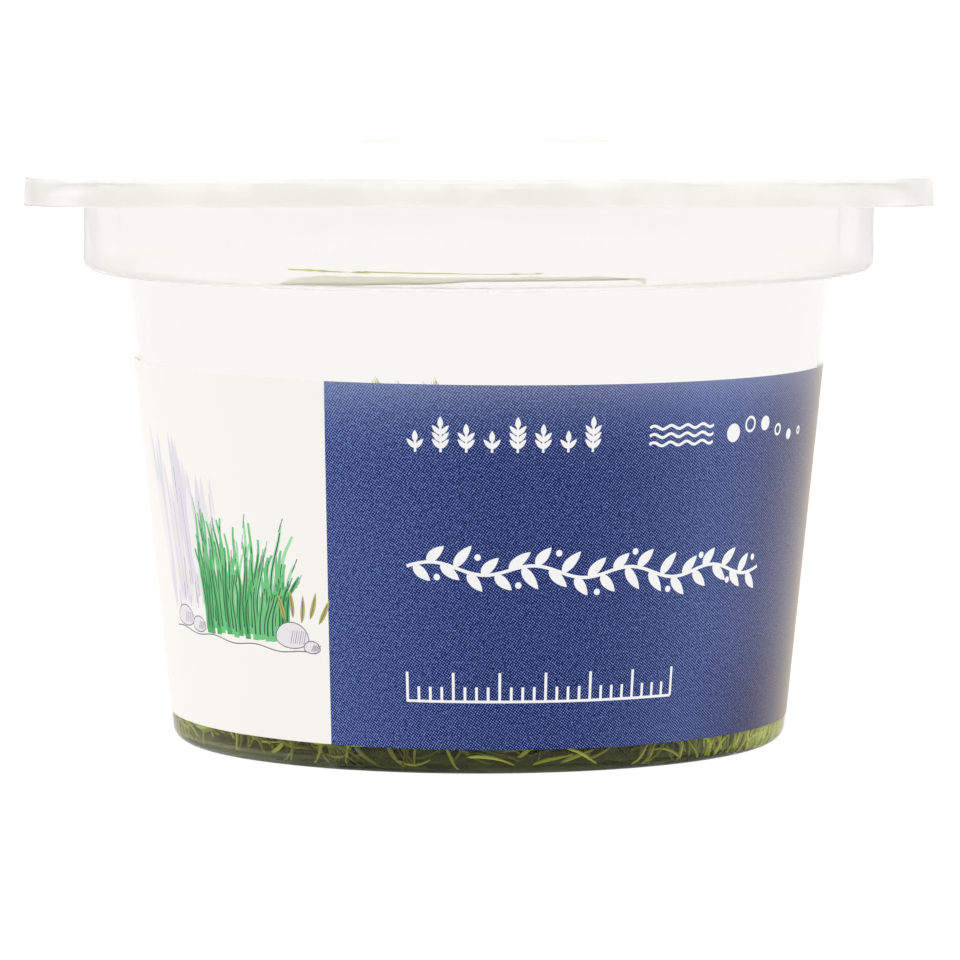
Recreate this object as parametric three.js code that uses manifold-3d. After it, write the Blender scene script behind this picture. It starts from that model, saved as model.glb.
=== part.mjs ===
// A clear plastic culture cup of grass-leaved bladderwort (Utricularia graminifolia), as sold for planting
// in an aquarium. The cup is one thermoformed shell with a stepped collar and a square flange. A clear peel
// film closes it, a printed label goes half-way round it, and the plant grows inside on a thin
// bed of nutrient jelly. Units are millimetres, +Z is up, and the origin is the centre of the foot, on the
// surface that the cup stands on. The front of the label faces -Y.
import * as THREE from "three";
import { mergeVertices } from "three/addons/utils/BufferGeometryUtils.js";
import Module from "manifold-3d";

const wasm = await Module();
wasm.setup();

// Sizes of the cup
const WALL = 0.7;
const FOOT_FILLET = 1.4;
const RECESS_RADIUS = 23.5;
const RECESS_SLOPE = 0.8;
const RECESS_DEPTH = 0.8;
const WALL_LOW_RADIUS = 28.46;
const FOOT_EDGE = WALL_LOW_RADIUS - FOOT_FILLET;
const WALL_TOP_RADIUS = 32.75;
const LEDGE_HEIGHT = 43.7;
const LEDGE_CORNER = 0.4;
const COLLAR_RADIUS = 36.5;
const COLLAR_FILLET = 0.9;
const FLANGE_TOP = 53.45;
const FLANGE_THICKNESS = 0.7;
const FLANGE_HALF = 38.9;
const FLANGE_CORNER = 3;
const LIP_DROP = 1.85;
const LIP_FLARE_PER_MM = 0.173;
const LIP_THICKNESS = 0.6;

// Shallow pads round the collar that keep stacked empty cups apart
const PAD_COUNT = 8;
const PAD_FIRST_DEG = 22.5;
const PAD_WIDTH = 7;
const PAD_HEIGHT = 7;
const PAD_DEPTH = 0.35;
const PAD_FOOT = LEDGE_HEIGHT + 1.2;

// Sizes of what is on and in the cup
const GAP = 0.3;
const FILM_THICKNESS = 0.25;
const FILM_PAST_LIP = 0.2;
const LABEL_THICKNESS = 0.25;
const LABEL_FOOT = 2.1;
const LABEL_HEAD = 35.3;
const LABEL_FROM_DEG = -91;
const LABEL_TO_DEG = 91;
const LABEL_STEP_DEG = 45.5;
const JELLY_FOOT = 1.0;
const JELLY_TOP = 4.0;
const MAT_FOOT = JELLY_TOP + GAP;
const MAT_TOP = 8.2;
const MAT_RELIEF = 0.7;

// The leaf tufts: where each stands, and how high its tallest leaf reaches
const CROWN_RADIUS = 6.6;
const CROWN_HEIGHT = 2.2;
const CROWN_FOOT = MAT_TOP + GAP;
const RING_RADIUS = 17.6;
const RING_TUFTS = 6;
const RING_TURN_DEG = 20;
const TUFT_REACH = [27, 35.6, 25, 29, 24, 30, 26];
const BLADES_PER_TUFT = 18;
const BLADE_TRIES = 30;
const BLADE_WIDTH = 1.1;
const BLADE_THICKNESS = 0.5;
const BLADE_CLEARANCE = 1.9;

const SEGMENTS = 48;
const MAT_SEGMENTS = 36;
const UP = new THREE.Vector3(0, 0, 1);
const GOLDEN_ANGLE = Math.PI * (3 - Math.sqrt(5));
const radians = THREE.MathUtils.degToRad;

// Random numbers that are the same on every run
function seeded(seed) {
  let state = seed;
  return () => {
    state = (state + 0x6d2b79f5) | 0;
    let t = Math.imul(state ^ (state >>> 15), 1 | state);
    t = (t + Math.imul(t ^ (t >>> 7), 61 | t)) ^ t;
    return ((t ^ (t >>> 14)) >>> 0) / 4294967296;
  };
}

// A closed three.js geometry as a manifold-3d solid
function solidOf(geometry) {
  const bare = geometry.clone();
  bare.deleteAttribute("normal");
  bare.deleteAttribute("uv");
  const merged = mergeVertices(bare, 1e-4);
  const vertProperties = new Float32Array(merged.attributes.position.array);
  const triVerts = new Uint32Array(merged.index.array);
  return new wasm.Manifold(new wasm.Mesh({ numProp: 3, vertProperties, triVerts }));
}

// The outer surface alone, so that no pocket stays closed in where leaves cross
function withoutPockets(solid) {
  return solid.decompose().reduce((most, piece) => (piece.volume() > most.volume() ? piece : most));
}

// The solid back as a three.js mesh with its own name and material, without edges under the smallest size
function meshOf(solid, name, material, smallest = 0.003) {
  const made = withoutPockets(solid.simplify(smallest)).getMesh();
  const geometry = new THREE.BufferGeometry();
  geometry.setAttribute("position", new THREE.BufferAttribute(new Float32Array(made.vertProperties), 3));
  geometry.setIndex(new THREE.BufferAttribute(new Uint32Array(made.triVerts), 1));
  geometry.computeVertexNormals();
  const mesh = new THREE.Mesh(geometry, material);
  mesh.name = name;
  return mesh;
}

// A solid turned round +Z from points of radius and height
function turned(points) {
  const profile = points.map(([r, z]) => new THREE.Vector2(r, z));
  return solidOf(new THREE.LatheGeometry(profile, SEGMENTS).rotateX(Math.PI / 2));
}

// Points of a round corner, centred on a radius and a height
function corner(radius, height, size, fromDeg, toDeg, steps) {
  return Array.from({ length: steps + 1 }, (_, i) => {
    const angle = radians(fromDeg + ((toDeg - fromDeg) * i) / steps);
    return [radius + size * Math.cos(angle), height + size * Math.sin(angle)];
  });
}

// A square block with round corners that widens towards its foot as the lip does
function flaredBlock(half, cornerRadius, foot, head) {
  const straight = half - cornerRadius;
  const outline = new THREE.Shape();
  outline.absarc(straight, straight, cornerRadius, 0, Math.PI / 2);
  outline.absarc(-straight, straight, cornerRadius, Math.PI / 2, Math.PI);
  outline.absarc(-straight, -straight, cornerRadius, Math.PI, 1.5 * Math.PI);
  outline.absarc(straight, -straight, cornerRadius, 1.5 * Math.PI, 2 * Math.PI);
  const options = { depth: head - foot, bevelEnabled: false, curveSegments: 4 };
  const block = new THREE.ExtrudeGeometry(outline, options).translate(0, 0, foot);
  const position = block.attributes.position;
  for (let i = 0; i < position.count; i++) {
    const widen = 1 + (LIP_FLARE_PER_MM * (head - position.getZ(i))) / half;
    position.setXY(i, position.getX(i) * widen, position.getY(i) * widen);
  }
  return solidOf(block);
}

// A square tray, open below, with walls that flare outwards: the flange with its lip, and the film over it
function squareTray(half, cornerRadius, foot, head, topThickness, sideThickness) {
  const outside = flaredBlock(half, cornerRadius, foot, head);
  const insideHalf = half - sideThickness + LIP_FLARE_PER_MM * topThickness;
  return outside.subtract(
    flaredBlock(insideHalf, cornerRadius - sideThickness, foot - 1, head - topThickness),
  );
}

// Outer radius of the tapered wall at a height
function wallRadius(height) {
  const share = (height - FOOT_FILLET) / (LEDGE_HEIGHT - FOOT_FILLET);
  return WALL_LOW_RADIUS + share * (WALL_TOP_RADIUS - WALL_LOW_RADIUS);
}

// The cup's outer or inner surface: the profile moved in by a distance, and up by it where it faces down
function cupProfile(inset, top) {
  const fillet = FOOT_FILLET - inset / 2;
  const wallTop = WALL_TOP_RADIUS - inset;
  const ledge = LEDGE_HEIGHT + inset;
  return [
    [0, RECESS_DEPTH + inset],
    [RECESS_RADIUS - RECESS_SLOPE, RECESS_DEPTH + inset],
    [RECESS_RADIUS + inset * 0.4, inset],
    [FOOT_EDGE - inset / 2, inset],
    ...corner(WALL_LOW_RADIUS - inset - fillet, inset + fillet, fillet, -70, -6, 3),
    [wallTop, ledge - LEDGE_CORNER],
    [wallTop + LEDGE_CORNER, ledge],
    ...corner(COLLAR_RADIUS - inset - COLLAR_FILLET, ledge + COLLAR_FILLET, COLLAR_FILLET, -90, 0, 3),
    [COLLAR_RADIUS - inset, top],
    [0, top],
  ];
}

// The cup: one thin shell from foot to flange, open at the top
function makeCup() {
  const flange = squareTray(
    FLANGE_HALF,
    FLANGE_CORNER,
    FLANGE_TOP - LIP_DROP,
    FLANGE_TOP,
    FLANGE_THICKNESS,
    LIP_THICKNESS,
  );
  let shell = turned(cupProfile(0, FLANGE_TOP)).add(flange);
  for (let i = 0; i < PAD_COUNT; i++) {
    const pad = new THREE.BoxGeometry(2, PAD_WIDTH, PAD_HEIGHT)
      .translate(COLLAR_RADIUS - PAD_DEPTH + 1, 0, PAD_FOOT + PAD_HEIGHT / 2)
      .rotateZ(radians(PAD_FIRST_DEG + (360 / PAD_COUNT) * i));
    shell = shell.subtract(solidOf(pad));
  }
  return shell.subtract(turned(cupProfile(WALL, FLANGE_TOP + 1)));
}

// The peel film: a thin square sheet over the flange, with its margin folded down outside the lip
function makeFilm() {
  const side = FLANGE_HALF + GAP + FILM_THICKNESS;
  const top = FLANGE_TOP + GAP + FILM_THICKNESS;
  const foot = FLANGE_TOP - LIP_DROP - FILM_PAST_LIP;
  return squareTray(side, FLANGE_CORNER + GAP, foot, top, FILM_THICKNESS, FILM_THICKNESS);
}

// The label: a strip of a cone round the wall, cut off at both ends
function makeLabel() {
  const inside = (z) => wallRadius(z) + GAP;
  const ring = turned([
    [inside(LABEL_FOOT), LABEL_FOOT],
    [inside(LABEL_FOOT) + LABEL_THICKNESS, LABEL_FOOT],
    [inside(LABEL_HEAD) + LABEL_THICKNESS, LABEL_HEAD],
    [inside(LABEL_HEAD), LABEL_HEAD],
    [inside(LABEL_FOOT), LABEL_FOOT],
  ]);
  const reach = 2 * COLLAR_RADIUS;
  const wedge = new THREE.Shape([new THREE.Vector2(0, 0)]);
  for (let deg = LABEL_FROM_DEG; deg <= LABEL_TO_DEG; deg += LABEL_STEP_DEG) {
    wedge.lineTo(reach * Math.sin(radians(deg)), -reach * Math.cos(radians(deg)));
  }
  const sector = new THREE.ExtrudeGeometry(wedge, { depth: FLANGE_TOP, bevelEnabled: false });
  return ring.intersect(solidOf(sector));
}

// The nutrient jelly: a shallow bed that follows the floor and the wall
function makeJelly() {
  const side = (z) => wallRadius(z) - WALL - GAP;
  return turned([
    [0, RECESS_DEPTH + JELLY_FOOT],
    [RECESS_RADIUS - RECESS_SLOPE, RECESS_DEPTH + JELLY_FOOT],
    [RECESS_RADIUS + RECESS_SLOPE, JELLY_FOOT],
    [FOOT_EDGE - 1, JELLY_FOOT],
    [side(JELLY_FOOT + 1) - 0.1, JELLY_FOOT + 1],
    [side(JELLY_TOP), JELLY_TOP],
    [0, JELLY_TOP],
  ]);
}

// Smooth bumps over the ground plan, between -1 and 1
function bumps(x, y) {
  return (Math.sin(x * 0.42 + 1.3) + Math.sin(y * 0.37 - 0.6) + Math.sin((x + y) * 0.29)) / 3;
}

// The mat of runners on the jelly: a low disc with an uneven top, out to the wall
function makeMat() {
  const side = wallRadius(MAT_FOOT) - WALL - 2 * GAP;
  const low = MAT_TOP - 2 * MAT_RELIEF;
  const rings = [0.25, 0.5, 0.75, 0.92];
  const profile = [
    [0, MAT_FOOT],
    [side, MAT_FOOT],
    [side + 0.2, low],
    ...rings.map((share) => [side * share, MAT_TOP - MAT_RELIEF]).reverse(),
    [0, MAT_TOP - MAT_RELIEF],
  ].map(([r, z]) => new THREE.Vector2(r, z));
  const disc = new THREE.LatheGeometry(profile, MAT_SEGMENTS).rotateX(Math.PI / 2);
  const position = disc.attributes.position;
  for (let i = 0; i < position.count; i++) {
    if (position.getZ(i) > low + 0.01) {
      const rise = MAT_RELIEF * bumps(position.getX(i), position.getY(i));
      position.setZ(i, position.getZ(i) + rise);
    }
  }
  return solidOf(disc);
}

// One leaf: a flattened spindle, narrow at its foot and widest near its round tip, bent along a curve
function makeBlade(curve, width, turn) {
  const profile = [
    [0, 0],
    [0.34, 0.12],
    [0.46, 0.5],
    [0.5, 0.88],
    [0, 1],
  ].map(([r, z]) => new THREE.Vector2(r, z));
  const spindle = new THREE.LatheGeometry(profile, 4);
  const position = spindle.attributes.position;
  const point = new THREE.Vector3();
  for (let i = 0; i < position.count; i++) {
    const share = position.getY(i);
    const across = position.getX(i) * width;
    const through = position.getZ(i) * BLADE_THICKNESS;
    const along = curve.getTangent(share);
    const face = new THREE.Vector3().crossVectors(along, turn).normalize();
    const edge = new THREE.Vector3().crossVectors(along, face).normalize();
    curve.getPoint(share, point);
    point.addScaledVector(edge, across).addScaledVector(face, through);
    position.setXYZ(i, point.x, point.y, point.z);
  }
  return solidOf(spindle);
}

// Where each tuft stands: one in the middle and a ring round it
function tuftCentres() {
  const ring = Array.from({ length: RING_TUFTS }, (_, i) => {
    const angle = radians(RING_TURN_DEG - 130 + (360 / RING_TUFTS) * i);
    return new THREE.Vector3(RING_RADIUS * Math.cos(angle), RING_RADIUS * Math.sin(angle), CROWN_FOOT);
  });
  return [new THREE.Vector3(0, 0, CROWN_FOOT), ...ring];
}

// The shortest distance between two leaves, from points along each
function apart(pointsA, pointsB) {
  let least = Infinity;
  for (const a of pointsA) {
    for (const b of pointsB) {
      least = Math.min(least, a.distanceTo(b));
    }
  }
  return least;
}

// A leaf of a tuft, by its number: a foot in the spiral of leaves, and a tip at a random height and lean
function drawBlade(centre, reach, number, random) {
  const angle = GOLDEN_ANGLE * number + centre.x + 0.5 * (random() - 0.5);
  const spread = Math.sqrt((number + 0.5) / BLADES_PER_TUFT);
  const height = (reach - CROWN_FOOT) * (0.55 + 0.45 * random());
  const lean = height * (0.06 + (0.2 + 0.45 * random()) * spread);
  const swing = angle + 0.7 * (random() - 0.5);
  const out = new THREE.Vector3(Math.cos(angle), Math.sin(angle), 0);
  const away = new THREE.Vector3(Math.cos(swing), Math.sin(swing), 0);
  const foot = centre.clone().addScaledVector(out, spread * CROWN_RADIUS * 0.75);
  foot.z += CROWN_HEIGHT * 0.3;
  const middle = foot.clone().addScaledVector(away, lean * 0.15).addScaledVector(UP, height * 0.75);
  const tip = foot.clone().addScaledVector(away, lean).addScaledVector(UP, height);
  const curve = new THREE.QuadraticBezierCurve3(foot, middle, tip);
  return { curve, points: curve.getPoints(12), turn: out, width: BLADE_WIDTH * (0.85 + 0.3 * random()) };
}

// Whether a leaf stays clear of the cup's wall and of the crowns and leaves of the other tufts
function isClear(points, own, centres, chosen) {
  const insideWall = points.every((p) => Math.hypot(p.x, p.y) < wallRadius(p.z) - WALL - BLADE_WIDTH);
  const low = points.filter((p) => p.z < CROWN_FOOT + CROWN_HEIGHT + BLADE_WIDTH);
  const others = centres.filter((centre, k) => k !== own);
  const room = CROWN_RADIUS + BLADE_WIDTH;
  const clearOfCrowns = low.every((p) => others.every((c) => Math.hypot(p.x - c.x, p.y - c.y) > room));
  const otherBlades = chosen.flatMap((blades, k) => (k === own ? [] : blades));
  return insideWall && clearOfCrowns && otherBlades.every((b) => apart(b.points, points) > BLADE_CLEARANCE);
}

// Chooses the leaves of every tuft in turn, each with up to a set number of tries
function chooseBlades(centres) {
  const random = seeded(7);
  const chosen = centres.map(() => []);
  for (let number = 0; number < BLADES_PER_TUFT; number++) {
    centres.forEach((centre, own) => {
      for (let attempt = 0; attempt < BLADE_TRIES; attempt++) {
        const blade = drawBlade(centre, TUFT_REACH[own], number, random);
        if (isClear(blade.points, own, centres, chosen)) {
          chosen[own].push(blade);
          return;
        }
      }
    });
  }
  return chosen;
}

// The crown that a tuft's leaves grow from: a lumpy flattened dome with a flat foot
function makeCrown(centre) {
  const dome = new THREE.SphereGeometry(1, 14, 8).rotateX(Math.PI / 2);
  const position = dome.attributes.position;
  for (let i = 0; i < position.count; i++) {
    const x = position.getX(i) * CROWN_RADIUS;
    const y = position.getY(i) * CROWN_RADIUS;
    const lump = 1 + 0.06 * bumps(2.5 * (x + centre.x), 2.5 * (y + centre.y));
    position.setXYZ(i, x * lump, y * lump, position.getZ(i) * CROWN_HEIGHT);
  }
  const whole = solidOf(dome.translate(centre.x, centre.y, centre.z));
  const above = new THREE.BoxGeometry(80, 80, 20).translate(0, 0, CROWN_FOOT + 10);
  return whole.intersect(solidOf(above));
}

// Colours and finishes of the real materials
const clearPlastic = new THREE.MeshStandardMaterial({
  color: 0xf4f5f2,
  roughness: 0.25,
  metalness: 0,
  transparent: true,
  opacity: 0.3,
});
const clearFilm = new THREE.MeshStandardMaterial({
  color: 0xfafafa,
  roughness: 0.12,
  metalness: 0,
  transparent: true,
  opacity: 0.25,
});
const printedLabel = new THREE.MeshStandardMaterial({ color: 0x2b4290, roughness: 0.45, metalness: 0 });
const jelly = new THREE.MeshStandardMaterial({
  color: 0x5c6a30,
  roughness: 0.15,
  metalness: 0,
  transparent: true,
  opacity: 0.7,
});
const runners = new THREE.MeshStandardMaterial({ color: 0x6d8034, roughness: 0.6, metalness: 0 });
const leaves = new THREE.MeshStandardMaterial({ color: 0x86a83a, roughness: 0.5, metalness: 0 });

const centres = tuftCentres();
const blades = chooseBlades(centres);
const part = new THREE.Group();
part.add(
  meshOf(makeCup(), "cup", clearPlastic),
  meshOf(makeFilm(), "peel_film", clearFilm),
  meshOf(makeLabel(), "label", printedLabel),
  meshOf(makeJelly(), "nutrient_jelly", jelly),
  meshOf(makeMat(), "runner_mat", runners),
);
centres.forEach((centre, i) => {
  const grown = blades[i].map((b) => makeBlade(b.curve, b.width, b.turn));
  const tuft = grown.reduce((whole, blade) => whole.add(blade), makeCrown(centre));
  part.add(meshOf(tuft, `leaf_tuft_${i + 1}`, leaves, 0.02));
});

export default part;
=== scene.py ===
# %% [markdown]
# # A cup of grass-leaved bladderwort
# The object is a clear culture cup with a stepped collar and a square flange. A peel film closes it, a
# printed label goes half-way round it, and a carpet of thin-leaved water plants grows inside on jelly.
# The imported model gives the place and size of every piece. This script dresses each one and never moves
# them.

# %% Load the frame
import math
import random

import bpy
from mathutils import Matrix, Vector, noise
from mathutils.geometry import delaunay_2d_cdt


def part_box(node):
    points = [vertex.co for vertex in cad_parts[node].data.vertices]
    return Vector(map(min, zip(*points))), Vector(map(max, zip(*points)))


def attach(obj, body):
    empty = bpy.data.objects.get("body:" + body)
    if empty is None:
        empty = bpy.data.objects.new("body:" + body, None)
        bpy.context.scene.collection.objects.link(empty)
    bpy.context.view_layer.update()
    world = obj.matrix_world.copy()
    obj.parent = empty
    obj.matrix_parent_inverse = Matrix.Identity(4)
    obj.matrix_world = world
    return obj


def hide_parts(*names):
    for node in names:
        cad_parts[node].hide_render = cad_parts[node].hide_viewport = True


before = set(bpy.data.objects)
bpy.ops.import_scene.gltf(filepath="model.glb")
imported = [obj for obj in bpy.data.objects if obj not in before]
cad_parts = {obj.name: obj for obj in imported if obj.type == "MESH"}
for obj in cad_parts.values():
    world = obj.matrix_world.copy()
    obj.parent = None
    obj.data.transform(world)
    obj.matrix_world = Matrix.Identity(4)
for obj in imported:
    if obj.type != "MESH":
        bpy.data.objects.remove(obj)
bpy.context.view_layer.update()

MM = 0.001
print("pieces in the frame:", sorted(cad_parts))

# %% [markdown]
# ## The camera
# The photo was taken with a long lens from a little above the cup's middle. The ellipses of the collar
# and the foot gave the height and the distance, and the scale between the collar and the foot gave the
# lens. A long lens keeps the flange's sides nearly parallel, which a short one would not.

# %% Set the camera
IMAGE_SIDE = 960
FOCAL_PIXELS = 7190
SENSOR_MM = 36
CAMERA_DISTANCE = 668
CAMERA_RISE_DEG = 5.3
AIM = Vector((0.1, 0, 23.87))


def make_camera():
    """The camera in front of the cup, a little above it and aimed at its middle."""
    camera = bpy.data.objects.new("camera", bpy.data.cameras.new("camera"))
    bpy.context.scene.collection.objects.link(camera)
    rise = math.radians(CAMERA_RISE_DEG)
    towards = Vector((0, -math.cos(rise), math.sin(rise)))
    camera.location = (AIM + towards * CAMERA_DISTANCE) * MM
    camera.rotation_euler = (-towards).to_track_quat("-Z", "Y").to_euler()
    camera.data.sensor_width = SENSOR_MM
    camera.data.lens = FOCAL_PIXELS * SENSOR_MM / IMAGE_SIDE
    camera.data.clip_start = 0.01
    camera.data.clip_end = 20
    bpy.context.scene.camera = camera
    return camera


print("lens in mm:", round(make_camera().data.lens, 1))

# %% [markdown]
# ## Light and floor
# A clear cup on white is lit by its whole surroundings, so the world is white above and behind. It is a
# little dimmer towards the camera, and that gives the clear walls and the film something to reflect.
# Lamps could light it too, but each would show as a spot in the wall. The floor sends back slightly more
# light than it gets, so that it stays white and keeps only a soft contact shadow. A few helpers for nodes
# come first, because every material below uses them.

# %% Helpers for nodes
def set_inputs(node, values):
    """Sets a node's sockets by name. A colour of three numbers gets an alpha of 1."""
    for name, value in values.items():
        if isinstance(value, tuple):
            value = (*value, 1)
        node.inputs[name].default_value = value


def new_material(name, values):
    """A material with its node tree and its shader, which starts from those values."""
    material = bpy.data.materials.new(name)
    material.use_nodes = True
    shader = material.node_tree.nodes["Principled BSDF"]
    set_inputs(shader, values)
    return material, material.node_tree, shader


def ranged(tree, value, start, end, to_start=0.0, to_end=1.0, curve="LINEAR"):
    """An output moved from one range to another, and held inside it."""
    made = tree.nodes.new("ShaderNodeMapRange")
    made.interpolation_type = curve
    set_inputs(made, {"From Min": start, "From Max": end, "To Min": to_start, "To Max": to_end})
    tree.links.new(value, made.inputs["Value"])
    return made.outputs[0]


print("node helpers ready")

# %% Light the scene
WORLD_BEHIND, WORLD_FRONT = 1.25, 0.9
FLOOR_HALF = 4000
FLOOR_GREY, FLOOR_GLOW = (0.06, 0.06, 0.06), 0.98


def make_world():
    """A white world, brighter behind the cup than in front of it."""
    world = bpy.data.worlds.new("white_studio")
    bpy.context.scene.world = world
    world.use_nodes = True
    tree = world.node_tree
    split = tree.nodes.new("ShaderNodeSeparateXYZ")
    tree.links.new(tree.nodes.new("ShaderNodeTexCoord").outputs["Generated"], split.inputs[0])
    away = ranged(tree, split.outputs["Y"], -1, 1, WORLD_FRONT, WORLD_BEHIND, "SMOOTHSTEP")
    tree.links.new(away, tree.nodes["Background"].inputs["Strength"])
    set_inputs(tree.nodes["Background"], {"Color": (1, 1, 1)})
    bpy.context.scene.view_settings.view_transform = "Standard"


def make_floor():
    """A wide floor that glows a little, which is only there for the picture."""
    material, _, _ = new_material("pale_floor", {
        "Base Color": FLOOR_GREY, "Roughness": 0.9, "Specular IOR Level": 0,
        "Emission Color": (1, 1, 1), "Emission Strength": FLOOR_GLOW})
    corners = [(-FLOOR_HALF, -FLOOR_HALF), (FLOOR_HALF, -FLOOR_HALF), (FLOOR_HALF, FLOOR_HALF)]
    corners.append((-FLOOR_HALF, FLOOR_HALF))
    mesh = bpy.data.meshes.new("floor")
    mesh.from_pydata([(x * MM, y * MM, 0) for x, y in corners], [], [(0, 1, 2, 3)])
    mesh.materials.append(material)
    floor = bpy.data.objects.new("floor", mesh)
    bpy.context.scene.collection.objects.link(floor)


make_world()
make_floor()
print("floor and world ready")

# %% [markdown]
# ## Helpers for making meshes
# Every piece here starts as a list of points and a list of faces. One helper turns them into an object,
# and one ties the object to the frame. The last rounds the corners of a profile with true arcs, so that a
# few corner points describe a whole moulded wall. Blender's bevel could round an edge too, but only once
# the mesh is there.

# %% Helpers for meshes
BODY = "root"


def new_object(name, points, faces, materials, crease_deg=40):
    """A mesh object from points in millimetres, smooth apart from edges sharper than the crease."""
    mesh = bpy.data.meshes.new(name)
    mesh.from_pydata([(x * MM, y * MM, z * MM) for x, y, z in points], [], faces)
    for material in materials:
        mesh.materials.append(material)
    mesh.shade_smooth()
    mesh.set_sharp_from_angle(angle=math.radians(crease_deg))
    made = bpy.data.objects.new(name, mesh)
    bpy.context.scene.collection.objects.link(made)
    return made


def dress(piece, slot, *stands_for):
    """The piece rides on the frame's body and stands for those nodes. The slot is not used."""
    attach(piece, BODY)
    if stands_for:
        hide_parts(*stands_for)
    print(f"{piece.name}: {len(piece.data.vertices)} points, {len(piece.data.polygons)} faces")


def rounded_path(corners, steps):
    """A profile from corners of radius, height and fillet size, with an arc of steps at each fillet."""
    path = [Vector(corners[0][:2])]
    for before, here, after in zip(corners, corners[1:], corners[2:]):
        at, size = Vector(here[:2]), here[2]
        back, on = (Vector(before[:2]) - at).normalized(), (Vector(after[:2]) - at).normalized()
        half = back.angle(on) / 2
        if size == 0 or half > math.pi / 2 - 0.01:
            path.append(at)
            continue
        centre = at + (back + on).normalized() * (size / math.sin(half))
        start = at + back * (size / math.tan(half)) - centre
        end = at + on * (size / math.tan(half)) - centre
        turn = -start.angle_signed(end)
        path += [centre + Matrix.Rotation(turn * i / steps, 2) @ start for i in range(steps + 1)]
    return path + [Vector(corners[-1][:2])]


print("points in a path with one round corner:", len(rounded_path([(0, 0, 0), (1, 0, 0.2), (1, 1, 0)], 4)))

# %% [markdown]
# ## The clear plastic
# The cup is polypropylene drawn thin from a heated sheet. Its wall is clear, while the collar and the lip
# went cloudy where the sheet was stretched most. On the foot's left side a faint cloudy patch is a painted
# haze, which lightens that side. The film is clear where it is taut and cloudy in the hem, where its layers
# part, and the hem's light and dark patches are painted reflections of its creases. One shader does all
# this: light goes through it, and a smaller share is scattered back where it is cloudy. Its refractive
# index is lower than the real one, because a true one turns the edges of these thin skins darker than they
# look against white.

# %% Helpers for textures
def add_bump(tree, shader, height, strength, distance_mm):
    """A bump on the shader from the height output, its relief given in millimetres."""
    bump = tree.nodes.new("ShaderNodeBump")
    bump.inputs["Strength"].default_value = strength
    bump.inputs["Distance"].default_value = distance_mm * MM
    tree.links.new(height, bump.inputs["Height"])
    tree.links.new(bump.outputs[0], shader.inputs["Normal"])


def noise_texture(tree, per_mm, detail, stretch=(1, 1, 1)):
    """A noise texture in object space with that many cells a millimetre."""
    place = tree.nodes.new("ShaderNodeTexCoord")
    scaled = tree.nodes.new("ShaderNodeMapping")
    scaled.inputs["Scale"].default_value = [per_mm / MM * s for s in stretch]
    texture = tree.nodes.new("ShaderNodeTexNoise")
    texture.inputs["Scale"].default_value = 1
    texture.inputs["Detail"].default_value = detail
    tree.links.new(place.outputs["Object"], scaled.inputs[0])
    tree.links.new(scaled.outputs[0], texture.inputs["Vector"])
    return texture


def maths(tree, operation, first, second=None):
    """A maths node on outputs or plain numbers."""
    made = tree.nodes.new("ShaderNodeMath")
    made.operation = operation
    for socket, value in zip(made.inputs, (first, second)):
        if isinstance(value, (int, float)):
            socket.default_value = value
        elif value is not None:
            tree.links.new(value, socket)
    return made.outputs[0]


def mixed(tree, factor, first, second):
    """A colour mix of two colours, each an output or plain numbers."""
    mix = tree.nodes.new("ShaderNodeMix")
    mix.data_type = "RGBA"
    tree.links.new(factor, mix.inputs["Factor"])
    for name, colour in (("A", first), ("B", second)):
        if isinstance(colour, tuple):
            mix.inputs[name].default_value = (*colour, 1)
        else:
            tree.links.new(colour, mix.inputs[name])
    return mix.outputs["Result"]


print("texture helpers ready")

# %% Plastics
PLASTIC_IOR = 1.06
FILM_COLOUR = (0.985, 0.975, 0.965)
CREASES_PER_MM, REFLECTION_PATCHES_PER_MM = 0.5, 0.17


def cup_plastic(name, colour, clear, roughness):
    """Plastic that lets that share of the light through and scatters the rest back."""
    return new_material(name, {
        "Base Color": colour, "Roughness": roughness, "IOR": PLASTIC_IOR, "Transmission Weight": clear})[0]


def film_plastic(name, clear, roughness):
    """Film with soft creases."""
    material = cup_plastic(name, FILM_COLOUR, clear, roughness)
    tree = material.node_tree
    creases = noise_texture(tree, CREASES_PER_MM, 4)
    add_bump(tree, tree.nodes["Principled BSDF"], creases.outputs["Fac"], strength=0.4, distance_mm=0.2)
    return material


def film_with_painted_reflections(name, clear, roughness, light, dark):
    """Folded film with light and dark patches that have sharp borders: painted reflections of its creases.
    """
    material = film_plastic(name, clear, roughness)
    tree = material.node_tree
    patches = noise_texture(tree, REFLECTION_PATCHES_PER_MM, 3, (1, 1, 2))
    patch = ranged(tree, patches.outputs["Fac"], 0.47, 0.53)
    tree.links.new(mixed(tree, patch, light, dark), tree.nodes["Principled BSDF"].inputs["Base Color"])
    return material


WALL_PLASTIC = cup_plastic("clear_polypropylene", (0.949, 0.94, 0.924), 1, 0)
COLLAR_PLASTIC = cup_plastic("cloudy_polypropylene", (0.958, 0.948, 0.934), 0.9, 0.38)
# The painted haze on the foot fades in steps: how far each reaches from its middle in degrees, and how
# clear it is
HAZE_MIDDLE_DEG = -90
PAINTED_HAZE_STEPS = [(45, 0.94), (54, 0.96), (63, 0.98)]
PAINTED_HAZE_PLASTICS = [cup_plastic(f"painted_haze_polypropylene_{reach}", (0.93, 0.95, 0.8), clear, 0.12)
                    for reach, clear in PAINTED_HAZE_STEPS]
TOP_FILM = film_plastic("clear_peel_film", 1, 0)
# The hem's light and dark patches are painted reflections of its creases.
HEM_FILM = film_with_painted_reflections("cloudy_film_hem", 0.91, 0.34, (1.0, 0.998, 0.99), (0.962, 0.948, 0.937))
print("plastics:", [made.name for made in (WALL_PLASTIC, COLLAR_PLASTIC, TOP_FILM, HEM_FILM)])

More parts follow.
